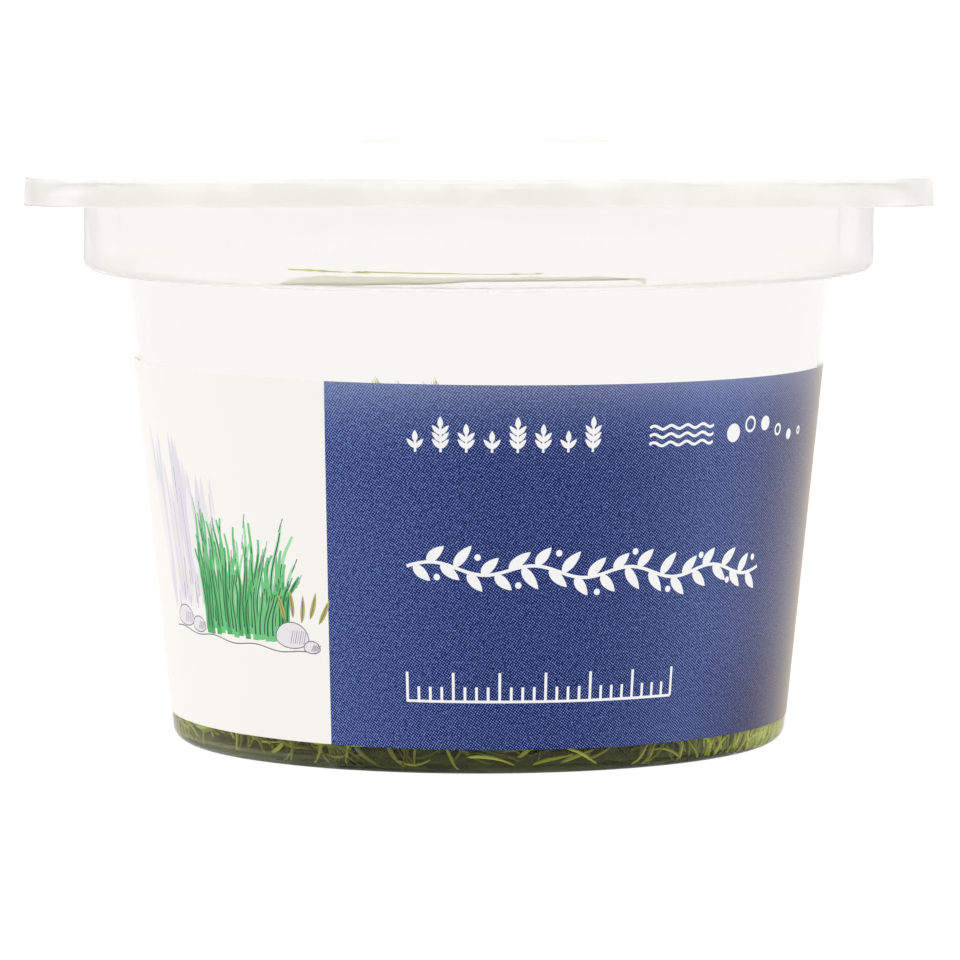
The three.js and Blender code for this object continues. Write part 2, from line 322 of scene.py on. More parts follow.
# %% [markdown]
# ## The cup
# The model's cup is faceted, so a finer shell takes its place. Every level of the cup is either a circle
# or a rounded square, and both can be drawn from the axis outwards. So one list of rings, swept round the
# axis, makes the outside and the inside in a single closed skin. A screw modifier could turn the round
# part, but not the square flange. Extra rays at the flange's corners and over the collar's flat pads keep
# their shape.

# %% Sizes of the cup
FLANGE_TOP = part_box("cup")[1][2] / MM
WALL = 0.35
RECESS_RADIUS, RECESS_DEPTH = 23.5, 0.8
WALL_LOW_RADIUS, WALL_LOW_HEIGHT = 28.46, 1.4
WALL_TOP_RADIUS, LEDGE_HEIGHT = 32.75, 43.7
COLLAR_RADIUS = 36.5
FLANGE_HALF, FLANGE_CORNER, FLANGE_THICKNESS = 38.9, 3.0, 0.4
LIP_FOOT = FLANGE_TOP - 2.1
LIP_THICKNESS, LIP_FLARE = 0.4, 0.173
PAD_COUNT, PAD_FIRST_DEG, PAD_HALF_DEG, PAD_FLAT = 8, 22.5, 5.5, 36.15
PAD_FOOT, PAD_HEAD = 44.9, 51.6
PAD_SOFT_DEG, PAD_SOFT_MM = 4.5, 2.2


def wall_radius(height, inset=0.0):
    """Radius of the tapered wall's outside at a height, less an inset."""
    share = (height - WALL_LOW_HEIGHT) / (LEDGE_HEIGHT - WALL_LOW_HEIGHT)
    return WALL_LOW_RADIUS + share * (WALL_TOP_RADIUS - WALL_LOW_RADIUS) - inset


def square_reach(angle, half, corner):
    """Distance from the axis to the edge of a rounded square in that direction."""
    near, far = sorted((abs(math.cos(angle)), abs(math.sin(angle))))
    straight = half - corner
    if half * near / far <= straight:
        return half / far
    return straight * (near + far) + math.sqrt(corner**2 - straight**2 * (far - near) ** 2)


def pad_turn(angle):
    """How far a direction is from the middle of the nearest pad, in degrees."""
    step = 360 / PAD_COUNT
    return (math.degrees(angle) - PAD_FIRST_DEG + step / 2) % step - step / 2


print("wall radius at the label's middle:", round(wall_radius(18.7), 2))

# %% Directions round the cup
CORNER_DEG = [45 + 0.4 * i for i in range(-8, 9)]
EVEN_RAYS = 240
PAD_RAYS = 8


def cup_rays():
    """Directions round the axis: even ones, more at the flange's corners, and pairs at the pads' edges."""
    rays = {round(360 * i / EVEN_RAYS, 3) for i in range(EVEN_RAYS)}
    rays |= {round(90 * quarter + deg, 3) for quarter in range(4) for deg in CORNER_DEG}
    for i in range(PAD_COUNT):
        middle = PAD_FIRST_DEG + 360 / PAD_COUNT * i
        edges = [middle + side * (PAD_HALF_DEG - PAD_SOFT_DEG * k / PAD_RAYS)
                 for side in (-1, 1) for k in range(PAD_RAYS + 1)]
        rays |= {round(deg % 360, 3) for deg in edges}
    return [math.radians(deg) for deg in sorted(rays)]


def sweep(rings, rays):
    """Points and faces of a skin through rings. A ring gives radius and height for a direction."""
    points, faces, rows = [], [], []
    for ring in rings:
        reach = [ring(angle) for angle in rays]
        if reach[0][0] == 0:
            rows.append([len(points)] * len(rays))
            points.append((0, 0, reach[0][1]))
            continue
        rows.append(range(len(points), len(points) + len(rays)))
        points += [(r * math.cos(a), r * math.sin(a), z) for a, (r, z) in zip(rays, reach)]
    for low, high in zip(rows, rows[1:]):
        for i in range(len(rays)):
            k = (i + 1) % len(rays)
            face = (low[i], low[k], high[k], high[i])
            faces.append(tuple(dict.fromkeys(face)))
    return points, faces


print("directions round the cup:", len(cup_rays()))

# %% Rings of the cup
def round_ring(radius, height):
    """A ring that has the same radius in every direction."""
    return lambda angle: (radius, height)


def square_ring(half, height):
    """A ring along the flange's rounded square."""
    corner = FLANGE_CORNER + half - FLANGE_HALF
    return lambda angle: (square_reach(angle, half, corner), height)


def eased(share):
    """A share held between 0 and 1, with a soft start and end."""
    share = min(1, max(0, share))
    return share * share * (3 - 2 * share)


def collar_ring(height, inset=0.0):
    """The collar's outside, or its inside with an inset, with a flat pad where the direction is in one."""
    def ring(angle):
        turn = pad_turn(angle)
        round_reach = COLLAR_RADIUS - inset
        flat = min(round_reach, (PAD_FLAT - inset) / math.cos(math.radians(turn)))
        sideways = eased((PAD_HALF_DEG - abs(turn)) / PAD_SOFT_DEG)
        upright = eased(min(height - PAD_FOOT, PAD_HEAD - height) / PAD_SOFT_MM)
        return round_reach + (flat - round_reach) * sideways * upright, height
    return ring


def rounded_rings(corners, steps, ring=round_ring):
    """Rings along a profile of corners, each a radius, a height and a fillet size."""
    return [ring(*point) for point in rounded_path(corners, steps)]


reaches = [round(collar_ring(48)(math.radians(deg))[0], 2) for deg in (PAD_FIRST_DEG, 0)]
print("reach of the collar on a pad and beside it:", reaches)

# %% Profile of the cup
FILLET_STEPS, LIP_STEPS, PAD_STEPS = 10, 8, 7


def cup_rings():
    """From the middle of the foot up the outside, over the flange and down the inside again."""
    low, inside = wall_radius(0), COLLAR_RADIUS - WALL
    under = [(0, RECESS_DEPTH, 0), (RECESS_RADIUS - 0.8, RECESS_DEPTH, 0.6), (RECESS_RADIUS, 0, 0.5),
             (low, 0, WALL_LOW_HEIGHT), (WALL_TOP_RADIUS, LEDGE_HEIGHT, 0.12),
             (COLLAR_RADIUS, LEDGE_HEIGHT, 0.9), (COLLAR_RADIUS, PAD_FOOT - 0.2, 0)]
    soft = [PAD_SOFT_MM * k / PAD_STEPS for k in range(PAD_STEPS + 1)]
    levels = [PAD_FOOT + rise for rise in soft] + [PAD_HEAD - drop for drop in reversed(soft)]
    plate, drop = FLANGE_TOP - FLANGE_THICKNESS, FLANGE_TOP - LIP_FOOT
    neck = [(COLLAR_RADIUS, PAD_HEAD + 0.1, 0), (COLLAR_RADIUS, plate, 0.4), (COLLAR_RADIUS + 1, plate, 0)]
    lip_inside = FLANGE_HALF - LIP_THICKNESS + LIP_FLARE * FLANGE_THICKNESS
    lip = [(FLANGE_HALF - 1.2, plate, 0), (lip_inside, plate, 0.3), (lip_inside + 0.2, LIP_FOOT, 0.12),
           (FLANGE_HALF + LIP_FLARE * drop, LIP_FOOT, 0.2), (FLANGE_HALF, FLANGE_TOP, 0.35),
           (FLANGE_HALF - 1.2, FLANGE_TOP, 0)]
    mouth = [(inside + 0.9, FLANGE_TOP, 0), (inside, FLANGE_TOP, 0.4), (inside, PAD_HEAD + 0.1, 0)]
    lower = [(inside, PAD_FOOT - 0.1, 0), (inside, LEDGE_HEIGHT + WALL, 0.55),
             (WALL_TOP_RADIUS - WALL, LEDGE_HEIGHT + WALL, 0.12), (low - WALL + 0.07, WALL, 1.0),
             (RECESS_RADIUS + 0.3, WALL, 0.4), (RECESS_RADIUS - 0.8, RECESS_DEPTH + WALL, 0.5),
             (0, RECESS_DEPTH + WALL, 0)]
    rings = rounded_rings(under, FILLET_STEPS) + [collar_ring(height) for height in levels]
    rings += rounded_rings(neck, FILLET_STEPS) + rounded_rings(lip, LIP_STEPS, square_ring)
    rings += rounded_rings(mouth, FILLET_STEPS) + [collar_ring(height, WALL) for height in reversed(levels)]
    return rings + rounded_rings(lower, FILLET_STEPS)


def make_cup():
    """The cup. The collar and the lip are cloudy, and a painted haze lightens the left of the foot."""
    points, faces = sweep(cup_rings(), cup_rays())
    cup = new_object("clear_cup", points, faces, [WALL_PLASTIC, COLLAR_PLASTIC, *PAINTED_HAZE_PLASTICS], 30)
    for side in cup.data.polygons:
        flat_flange = side.center.z > (FLANGE_TOP - 0.5) * MM and abs(side.normal.z) > 0.7
        side.material_index = int(side.center.z > (LEDGE_HEIGHT - 0.3) * MM and not flat_flange)
        # Painted haze: steps of cloudier plastic lighten the foot's left side.
        away = abs(math.degrees(math.atan2(side.center.x, -side.center.y)) - HAZE_MIDDLE_DEG)
        haze_steps = [i for i, (reach, _) in enumerate(PAINTED_HAZE_STEPS) if away < reach]
        if haze_steps and side.center.z < WALL_LOW_HEIGHT * MM and side.center.xy.length > RECESS_RADIUS * MM:
            side.material_index = 2 + haze_steps[0]
    dress(cup, "clear_cup_plastic", "cup")


make_cup()

# %% [markdown]
# ## The peel film
# The film is welded to the flange in a ring and folded down outside the lip. A cloth simulation could
# shape it, but the film is stiff and held all over, so a height for each point is enough: taut over the
# mouth, pressed down at the weld, and loose outside it, where it stands off the flange and ripples. The
# sheet is then made a thin solid. Its finest creases are only a bump in the material.

# %% Shape of the film
FILM_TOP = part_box("peel_film")[1][2] / MM
FILM_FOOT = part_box("peel_film")[0][2] / MM
FILM_HALF = 39.57
FILM_THICKNESS = 0.06
WELD_INNER, WELD_OUTER, WELD_SLOPE = 36.2, 37.6, 1.0
TAUT_RISE, WELD_RISE, LOOSE_RISE, RIPPLE = 0.12, 0.06, 0.42, 0.02
HEM_OUT = 0.22
FILM_RAYS, RIM_ROWS, HEM_ROWS = 560, 16, 10
CREASE_SEED = 3.7


def ridged(x, y, z):
    """Folds: a sharp crest where smooth noise changes sign, from 0 to 1."""
    return 1 - min(1, 2.2 * abs(noise.noise(Vector((x, y, z)))))


def film_height(x, y, radius):
    """Height of the film at a point: taut over the mouth, pressed down at the weld and loose outside it."""
    taut = FLANGE_TOP + TAUT_RISE + RIPPLE * noise.noise(Vector((x * 0.09, y * 0.09, CREASE_SEED)))
    weld = FLANGE_TOP + WELD_RISE
    loose = FLANGE_TOP + LOOSE_RISE + RIPPLE * ridged(x * 0.22, y * 0.22, CREASE_SEED)
    if radius < WELD_INNER - WELD_SLOPE:
        return taut
    if radius < WELD_INNER:
        return taut + (weld - taut) * (radius - WELD_INNER + WELD_SLOPE)
    if radius < WELD_OUTER:
        return weld
    return weld + (loose - weld) * min(1, (radius - WELD_OUTER) / WELD_SLOPE)


def film_point(angle, share):
    """A point of the film's sheet: share 0 is the middle, 1 the fold over the lip, 2 the hem's edge."""
    c, s = math.cos(angle), math.sin(angle)
    fold = square_reach(angle, FILM_HALF, FLANGE_CORNER + 0.4)
    if share <= 1:
        radius = fold * share
        x, y = radius * c, radius * s
        return x, y, min(FILM_TOP - FILM_THICKNESS, film_height(x, y, radius))
    down = share - 1
    wave = noise.noise(Vector((c * fold * 0.3, s * fold * 0.3, down * 1.5 + CREASE_SEED)))
    out = fold + HEM_OUT * math.sin(down * math.pi / 2) + RIPPLE * down * wave
    edge_x, edge_y = fold * c, fold * s
    start = min(FILM_TOP - FILM_THICKNESS, film_height(edge_x, edge_y, fold))
    foot = FILM_FOOT + 0.02 + 0.06 * abs(noise.noise(Vector((edge_x * 0.5, edge_y * 0.5, 9))))
    return out * c, out * s, start + (foot - start) * down


print("height of the film over the mouth:", round(film_point(0, 0)[2], 2))

# %% Make the film
def make_film():
    """The film, clear on top and cloudy in the hem that hangs over the lip."""
    shares = [0, 0.12, 0.24, 0.36, 0.48, 0.6, 0.7, 0.8]
    shares += [0.86 + 0.14 * i / RIM_ROWS for i in range(RIM_ROWS + 1)]
    shares += [1 + i / HEM_ROWS for i in range(1, HEM_ROWS + 1)]
    rays = {round(360 * i / FILM_RAYS, 3) for i in range(FILM_RAYS)}
    rays |= {round(90 * quarter + deg, 3) for quarter in range(4) for deg in CORNER_DEG}
    rays = [math.radians(deg) for deg in sorted(rays)]
    points, faces = [(0, 0, film_point(0, 0)[2])], []
    for share in shares[1:]:
        points += [film_point(angle, share) for angle in rays]
    count = len(rays)
    faces += [(0, 1 + i, 1 + (i + 1) % count) for i in range(count)]
    for row in range(len(shares) - 2):
        first = 1 + row * count
        for i in range(count):
            k = (i + 1) % count
            faces.append((first + i, first + count + i, first + count + k, first + k))
    film = new_object("crinkled_peel_film", points, faces, [TOP_FILM, HEM_FILM], 60)
    thick = film.modifiers.new("thickness", "SOLIDIFY")
    thick.thickness = FILM_THICKNESS * MM
    thick.offset = 1
    made = bpy.data.meshes.new_from_object(film.evaluated_get(bpy.context.evaluated_depsgraph_get()))
    film.modifiers.clear()
    film.data = made
    for side in made.polygons:
        side.material_index = int(abs(side.normal.z) < 0.5)
    dress(film, "clear_film", "peel_film")


make_film()

# %% [markdown]
# ## The label
# The label is paper-thin and printed in a few colours, so its print is drawn as flat outlines and not as
# relief. A picture wrapped round it could do this too, but it would blur up close. Here all outlines are
# laid out on the flat strip in millimetres, cut into triangles together, and only then bent round the
# cone. Each triangle takes the ink of the topmost outline that holds it, so edges stay sharp at any
# distance. The strip was stuck on a little askew, and it isn't cut to the cone, so its foot rises towards
# both ends. The blue field was printed in halftone. Two crossed waves make light dots on dark blue there,
# and a number that changes over the field makes the dots larger or smaller.

# %% Sizes of the label
# Its height, how far round it goes, and the radius at which the print has its true size
LABEL_FOOT, LABEL_HEAD = 2.32, 35.25
LABEL_FROM_DEG, LABEL_TO_DEG = -91, 91
PRINT_RADIUS = 30.9
LABEL_OUT, LABEL_THICK = 0.01, 0.05
# How far its ends are off level: the right end hangs down, and both rise at the foot
TILT_FOOT, TILT_HEAD, LABEL_LIFT = 0.16, 0.28, 0.31
LEFT_END, RIGHT_END = [math.radians(deg) * PRINT_RADIUS for deg in (LABEL_FROM_DEG, LABEL_TO_DEG)]
FIELD_LEFT_HEAD, FIELD_LEFT_FOOT = -13.76, -14.84
print("label's length in mm:", round(RIGHT_END - LEFT_END, 1))


def on_cup(u, v, out):
    """The place on the cup for a point of the flat label, that far out from the wall."""
    across, share = u / PRINT_RADIUS, v / LABEL_HEAD
    tilt = TILT_FOOT + (TILT_HEAD - TILT_FOOT) * share
    height = v - tilt * math.sin(across) + LABEL_LIFT * (1 - math.cos(across)) * (1 - share)
    radius = wall_radius(height, -out)
    return radius * math.sin(across), -radius * math.cos(across), height

# %% Inks
HALFTONE_PER_MM, HALFTONE_TURN_DEG = 4.8, 34
DOT_BLUR, DOT_THRESHOLD = 0.3, 1.35
# Unevenness of the print: cells a millimetre, detail and strength
FINE_SPECKLE, COARSE_SPECKLE = (5.6, 1, 4.2), (2.2, 2, 1.3)
BLUE_DARK, BLUE_LIGHT = (0.0, 0.005, 0.085), (0.165, 0.25, 0.58)
BLUE_PALE = (0.62, 0.62, 0.66)
# The field is lighter from this height up to its head: more light dots, and a pale veil over them
PALE_FROM, PALE_MOST, TOP_DOTS = 26.0, 0.16, 0.66
# How many light dots there are at places along the label, and how far they thin out towards its lower
# right. Their thinning towards the right end and at the lower right is painted shade.
DOTS_AND_SHADE_ALONG = [(-14, 1.0), (2, 0.47), (9, 0.47), (16, 0.64), (22, 0.95), (27, 0.82), (32, 0.42), (42, 0.0)]
CORNER_SHADE, CORNER_SHADE_FROM, CORNER_SHADE_TO = 0.9, (20, 13), (32, 2.5)
INKS = {
    "panel_white": (0.93, 0.9, 0.86),
    "ink_white": (0.9, 0.9, 0.9),
    "leaf_pale": (0.36, 0.72, 0.42),
    "leaf_light": (0.17, 0.55, 0.22),
    "leaf_mid": (0.08, 0.4, 0.13),
    "leaf_dark": (0.035, 0.13, 0.06),
    "ochre": (0.45, 0.42, 0.12),
    "wash_grey": (0.8, 0.78, 0.79),
    "wash_pale": (0.87, 0.85, 0.84),
    "wash_violet": (0.74, 0.72, 0.79),
    "pencil_grey": (0.42, 0.4, 0.46),
    "pencil_dark": (0.16, 0.14, 0.2),
}
PRINT_FINISH = {"Roughness": 0.32, "IOR": 1.2}
print("inks:", ", ".join(INKS))

# %% Finishes of the label
def ink_material(name, colour):
    """A printed colour with a satin finish."""
    return new_material(name, {"Base Color": colour, **PRINT_FINISH})[0]


def colour_ramp(tree, value, stops):
    """Colours at places from 0 to 1, with an even change from each to the next."""
    ramp = tree.nodes.new("ShaderNodeValToRGB")
    while len(ramp.color_ramp.elements) < len(stops):
        ramp.color_ramp.elements.new(0.5)
    for i, (place, colour) in enumerate(stops):
        ramp.color_ramp.elements[i].position = place
        ramp.color_ramp.elements[i].color = (*colour, 1)
    tree.links.new(value, ramp.inputs[0])
    return ramp.outputs[0]


def speckle(tree, place, scale, detail, strength):
    """Noise over the flat print, as much above zero as below it."""
    texture = tree.nodes.new("ShaderNodeTexNoise")
    set_inputs(texture, {"Scale": scale, "Detail": detail})
    tree.links.new(place, texture.inputs["Vector"])
    return maths(tree, "MULTIPLY", maths(tree, "SUBTRACT", texture.outputs["Fac"], 0.5), strength)


def halftone(tree, place, more):
    """How much of a light dot a point has: 0 between them and 1 on one. They grow with more."""
    turned = tree.nodes.new("ShaderNodeVectorRotate")
    turned.rotation_type = "Z_AXIS"
    turned.inputs["Angle"].default_value = math.radians(HALFTONE_TURN_DEG)
    tree.links.new(place, turned.inputs["Vector"])
    axes = tree.nodes.new("ShaderNodeSeparateXYZ")
    tree.links.new(turned.outputs[0], axes.inputs[0])
    turns = 2 * math.pi * HALFTONE_PER_MM
    waves = [maths(tree, "SINE", maths(tree, "MULTIPLY", axes.outputs[axis], turns)) for axis in "XY"]
    grain = maths(tree, "ADD", *[speckle(tree, place, *kind) for kind in (FINE_SPECKLE, COARSE_SPECKLE)])
    uneven = maths(tree, "ADD", grain, maths(tree, "SUBTRACT", more, DOT_THRESHOLD))
    both = maths(tree, "ADD", maths(tree, "ADD", *waves), uneven)
    return ranged(tree, both, -DOT_BLUR, DOT_BLUR)


print("halftone dots an inch:", round(HALFTONE_PER_MM * 25.4))

# %% The blue of the label
def blue_material():
    """The blue field: light dots on dark blue. It is lighter at its head, and painted shade darkens its
    right end and lower right.
    """
    material, tree, shader = new_material("ink_blue", {
        **PRINT_FINISH, "Sheen Weight": 0.62, "Sheen Roughness": 0.4, "Sheen Tint": (1.0, 0.82, 0.52)})
    place = tree.nodes.new("ShaderNodeUVMap").outputs[0]
    axes = tree.nodes.new("ShaderNodeSeparateXYZ")
    tree.links.new(place, axes.inputs[0])
    rise = ranged(tree, axes.outputs["Y"], PALE_FROM, LABEL_HEAD)
    first, last = DOTS_AND_SHADE_ALONG[0][0], DOTS_AND_SHADE_ALONG[-1][0]
    stops = [((u - first) / (last - first), (share, share, share)) for u, share in DOTS_AND_SHADE_ALONG]
    dots = colour_ramp(tree, ranged(tree, axes.outputs["X"], first, last), stops)
    more = maths(tree, "ADD", maths(tree, "MULTIPLY", maths(tree, "MULTIPLY", rise, rise), TOP_DOTS), dots)
    # Painted shade: fewer light dots towards the lower right.
    corner_shade_mask = [ranged(tree, axes.outputs[axis], start, end)
                   for axis, start, end in zip("XY", CORNER_SHADE_FROM, CORNER_SHADE_TO)]
    painted_corner_shade = maths(tree, "MULTIPLY", maths(tree, "MULTIPLY", *corner_shade_mask), CORNER_SHADE)
    field = mixed(tree, halftone(tree, place, maths(tree, "SUBTRACT", more, painted_corner_shade)), BLUE_DARK, BLUE_LIGHT)
    veil = maths(tree, "MULTIPLY", maths(tree, "POWER", rise, 4), PALE_MOST)
    tree.links.new(mixed(tree, veil, field, BLUE_PALE), shader.inputs["Base Color"])
    return material


print("light dots along the label:", DOTS_AND_SHADE_ALONG)

# %% Outlines of leaves
def leaf_spine(foot, aim_deg, length, bend=0.0, steps=9):
    """The middle line of a leaf, curving to one side by the bend, as a share of its length."""
    aim = Vector((math.cos(math.radians(aim_deg)), math.sin(math.radians(aim_deg))))
    side = Vector((-aim.y, aim.x))
    return [Vector(foot) + aim * length * i / steps + side * length * bend * (i / steps) ** 2
            for i in range(steps + 1)]


def leaf_outline(foot, aim_deg, length, width, bend=0.0, steps=9):
    """A leaf about that line, widest before its middle and pointed at both ends."""
    aim = math.radians(aim_deg)
    side = Vector((-math.sin(aim), math.cos(aim)))
    spine = leaf_spine(foot, aim_deg, length, bend, steps)
    half = [width / 2 * math.sin(math.pi * (i / steps) ** 0.8) ** 0.8 for i in range(1, steps)]
    left = [p + side * h for p, h in zip(spine[1:-1], half)]
    right = [p - side * h for p, h in zip(spine[1:-1], half)]
    return [spine[0], *right, spine[-1], *reversed(left)]


print("points round one leaf:", len(leaf_outline((0, 0), 90, 1, 0.4)))

# %% Outlines of strokes, dots and waves
def stroke_outline(path, width, end_width=None):
    """A line along a path, of even width, or one that narrows to the end width."""
    path = [Vector(p) for p in path]
    narrowing = (width if end_width is None else end_width) - width
    sides = []
    for i, here in enumerate(path):
        along = (path[min(i + 1, len(path) - 1)] - path[max(i - 1, 0)]).normalized()
        sides.append(Vector((-along.y, along.x)) * (width + narrowing * i / (len(path) - 1)) / 2)
    right = [p - s for p, s in zip(path, sides)]
    left = [p + s for p, s in zip(path, sides)]
    return right + list(reversed(left))


def disc_outline(centre, radius, steps=14):
    """A round dot."""
    turns = [2 * math.pi * i / steps for i in range(steps)]
    return [Vector((centre[0] + radius * math.cos(t), centre[1] + radius * math.sin(t))) for t in turns]


def wavy(from_u, to_u, v, rise, height, length, steps):
    """A path along the label that waves, and rises evenly by the rise."""
    path = []
    for i in range(steps + 1):
        u = from_u + (to_u - from_u) * i / steps
        path.append((u, v + rise * i / steps + height * math.sin(2 * math.pi * (u - from_u) / length)))
    return path


print("points round a stroke of three:", len(stroke_outline([(0, 0), (1, 0), (2, 1)], 0.2)))

# %% What is printed on the blue field
def garland(shapes):
    """A waving stem with leaves and berries on both sides, across the middle of the field."""
    pick = random.Random(4)
    stem = wavy(-6.6, 30.6, 18.9, -1.2, 0.5, 9.3, 60)
    shapes.append((stroke_outline(stem, 0.3), "ink_white"))
    for i in range(1, 58, 2):
        side = 1 if i // 2 % 2 else -1
        aim = -2 + side * (52 + pick.uniform(-8, 8))
        length = 2.35 + pick.uniform(-0.3, 0.3)
        shapes.append((leaf_outline(stem[i], aim, length, 0.95, -0.1 * side), "ink_white"))
        if i % 6 == 3:
            u, v = stem[i]
            shapes.append((disc_outline((u + 0.9, v - side * 1.35), 0.3), "ink_white"))


def little_plants(shapes):
    """A line of little plants near the top of the field, with two, three or four pairs of narrow leaves."""
    for i in range(8):
        u, pairs, foot = -5.6 + i * 2.25, 1 + (i * 2) % 3, 29.2
        top = foot + 0.62 * pairs + 0.5
        stem = [(u, foot + (top - foot) * k / 4) for k in range(5)]
        shapes.append((stroke_outline(stem, 0.22), "ink_white"))
        shapes.append((leaf_outline((u, top - 0.2), 90, 1.05, 0.5), "ink_white"))
        for k in range(pairs):
            for aim in (48, 132):
                shapes.append((leaf_outline((u, foot + 0.35 + 0.62 * k), aim, 1.12, 0.42), "ink_white"))


def water_signs(shapes):
    """Three short waves with drops over them, then a curve of bubbles that shrink."""
    for k in range(3):
        wave = wavy(15.6, 22.6, 29.7 + 0.75 * k, 0, 0.17, 1.75, 32)
        shapes.append((stroke_outline(wave, 0.26), "ink_white"))
    for i in range(6):
        centre = (25.2 + 2.3 * i, 30.3 + 0.75 * math.sin(i * 1.1))
        shapes.append((disc_outline(centre, 0.86 - 0.09 * i, 22), "ink_white"))
        if i % 2:
            shapes.append((disc_outline(centre, 0.62 - 0.09 * i, 22), "ink_blue"))


def tick_scale(shapes):
    """A plain scale of ticks near the foot of the field, longer at each fifth."""
    shapes.append((stroke_outline([(-6.9 + 26.4 * i / 20, 6.7) for i in range(21)], 0.24), "ink_white"))
    for i in range(25):
        tall = 2.6 if i % 4 == 0 else 1.3
        u = -6.8 + 1.096 * i
        shapes.append((stroke_outline([(u, 6.72 + tall * k / 3) for k in range(4)], 0.26), "ink_white"))


garland_alone = []
garland(garland_alone)
print("outlines in the garland:", len(garland_alone))

# %% Pebbles for the white panel
# Each pebble's place, width and height
PEBBLES = [(-34.6, 12.2, 1.7, 1.2), (-31.9, 11.7, 1.2, 0.9), (-18.6, 11.7, 1.9, 1.5),
           (-16.4, 10.9, 0.9, 0.7)]


def pencilled(shapes, outline, width=0.09):
    """A thin pencil line round an outline, in two halves."""
    half = len(outline) // 2
    shapes.append((stroke_outline(outline[:half + 1], width), "pencil_dark"))
    shapes.append((stroke_outline([*outline[half:], outline[0]], width), "pencil_dark"))


def pebble(shapes, centre, wide, tall):
    """A pebble: a pale wash, a pencil line round it and some hatching on one side."""
    turns = [2 * math.pi * i / 18 for i in range(18)]
    below = [1 if t < math.pi else 0.6 for t in turns]
    outline = [Vector((centre[0] + wide * math.cos(t), centre[1] + tall * math.sin(t) * b))
               for t, b in zip(turns, below)]
    shapes.append((outline, "wash_grey"))
    pencilled(shapes, outline)
    for i in range(7):
        u = centre[0] + wide * (-0.1 + 0.13 * i)
        low, high = centre[1] - 0.3 * tall, centre[1] + 0.5 * tall
        line = [(u, low), (u + 0.15, centre[1] + 0.05), (u + 0.35, high)]
        shapes.append((stroke_outline(line, 0.06), "pencil_grey" if i % 2 else "pencil_dark"))


print("pebbles in the drawing:", len(PEBBLES))

# %% Plants for the white panel
def reeds(shapes, pick):
    """A leaning sheaf of dry reeds: long pale leaves with pencil strokes over them."""
    for i in range(60):
        share = pick.random()
        foot = (-37.4 + 9.6 * share, 12.6 + pick.uniform(0, 4))
        length, aim = pick.uniform(7.5, 17.5) * (1 - 0.35 * share), 99 - 12 * share + pick.uniform(-4, 4)
        wash = leaf_outline(foot, aim, length, pick.uniform(0.9, 1.5), 0.03)
        shapes.append((wash, ("wash_grey", "wash_pale", "wash_violet")[i % 3]))
        if i % 2:
            line = leaf_spine(foot, aim, length * pick.uniform(0.4, 0.95), 0.03)
            shapes.append((stroke_outline(line, 0.07), ("pencil_grey", "pencil_dark")[i % 4 == 1]))


def ribbons(shapes, pick, count=70):
    """A clump of ribbon leaves: pale ones behind, bright ones before them, and dark strokes down them."""
    for i in range(count):
        share, front = (i * 0.618034) % 1, i / count
        u, v = -30.3 + 11.2 * share, 11.2 + pick.uniform(0, 2.8) * (1 - front)
        tall = pick.uniform(9.0, 12.2) * (1 - 0.34 * share) * (1 - 0.3 * front)
        lean, sway, phase = 2.6 * (share - 0.35), pick.uniform(0.25, 0.6), pick.uniform(0, 6)
        path = []
        for k in range(13):
            t = k / 12
            path.append(Vector((u + lean * t * t + sway * t * math.sin(5.2 * t + phase), v + tall * t)))
        depth = int(3.99 * (0.5 * front + 0.5 * pick.random()))
        ink = ("leaf_pale", "leaf_light", "leaf_light", "leaf_mid")[depth]
        shapes.append((stroke_outline(path, 0.74, 0.24), ink))
        shapes.append((stroke_outline(path[1:9 + i % 4], 0.2, 0.12), "leaf_dark"))
        if i % 3 == 0:
            tip = [path[-1] + Vector((0.25 * k * (share - 0.3), 0.32 * k)) for k in range(-2, 3)]
            shapes.append((stroke_outline(tip, 0.1), "pencil_dark" if i % 2 else "pencil_grey"))


def drawn_plants(shapes):
    """The drawing: dry reeds, a clump of ribbon leaves, and pebbles and sprouts at their feet."""
    pick = random.Random(11)
    reeds(shapes, pick)
    ground = stroke_outline(wavy(-36.9, -16.0, 11.3, -0.9, 0.16, 6.1, 50), 0.1)
    shapes.append((ground, "pencil_dark"))
    ribbons(shapes, pick)
    for u, v, wide, tall in PEBBLES:
        pebble(shapes, (u, v), wide, tall)
    for i in range(5):
        foot = (-19.3 + 0.95 * i, 13.2 + 0.4 * (i % 2))
        shapes.append((leaf_outline(foot, 100 - 11 * i, 2.6, 0.5, 0.1), "ochre"))
        shapes.append((stroke_outline(leaf_spine(foot, 100 - 11 * i, 2.0, 0.1), 0.08), "pencil_dark"))


drawing = []
drawn_plants(drawing)
print("outlines in the drawing:", len(drawing))

# %% Lay the print out flat
BEND_EVERY = 0.9


def signed_area(outline):
    """Area of an outline, below zero when it runs clockwise."""
    return sum(a[0] * b[1] - b[0] * a[1] for a, b in zip(outline, outline[1:] + outline[:1])) / 2


def label_shapes():
    """All outlines with their inks, from the lowest to the topmost."""
    strip = [(LEFT_END, LABEL_FOOT), (RIGHT_END, LABEL_FOOT), (RIGHT_END, LABEL_HEAD)]
    strip.append((LEFT_END, LABEL_HEAD))
    field = [(FIELD_LEFT_FOOT, LABEL_FOOT), (RIGHT_END, LABEL_FOOT), (RIGHT_END, LABEL_HEAD)]
    field.append((FIELD_LEFT_HEAD, LABEL_HEAD))
    shapes = [(strip, "panel_white"), (field, "ink_blue")]
    for draw in (little_plants, water_signs, garland, tick_scale, drawn_plants):
        draw(shapes)
    return shapes


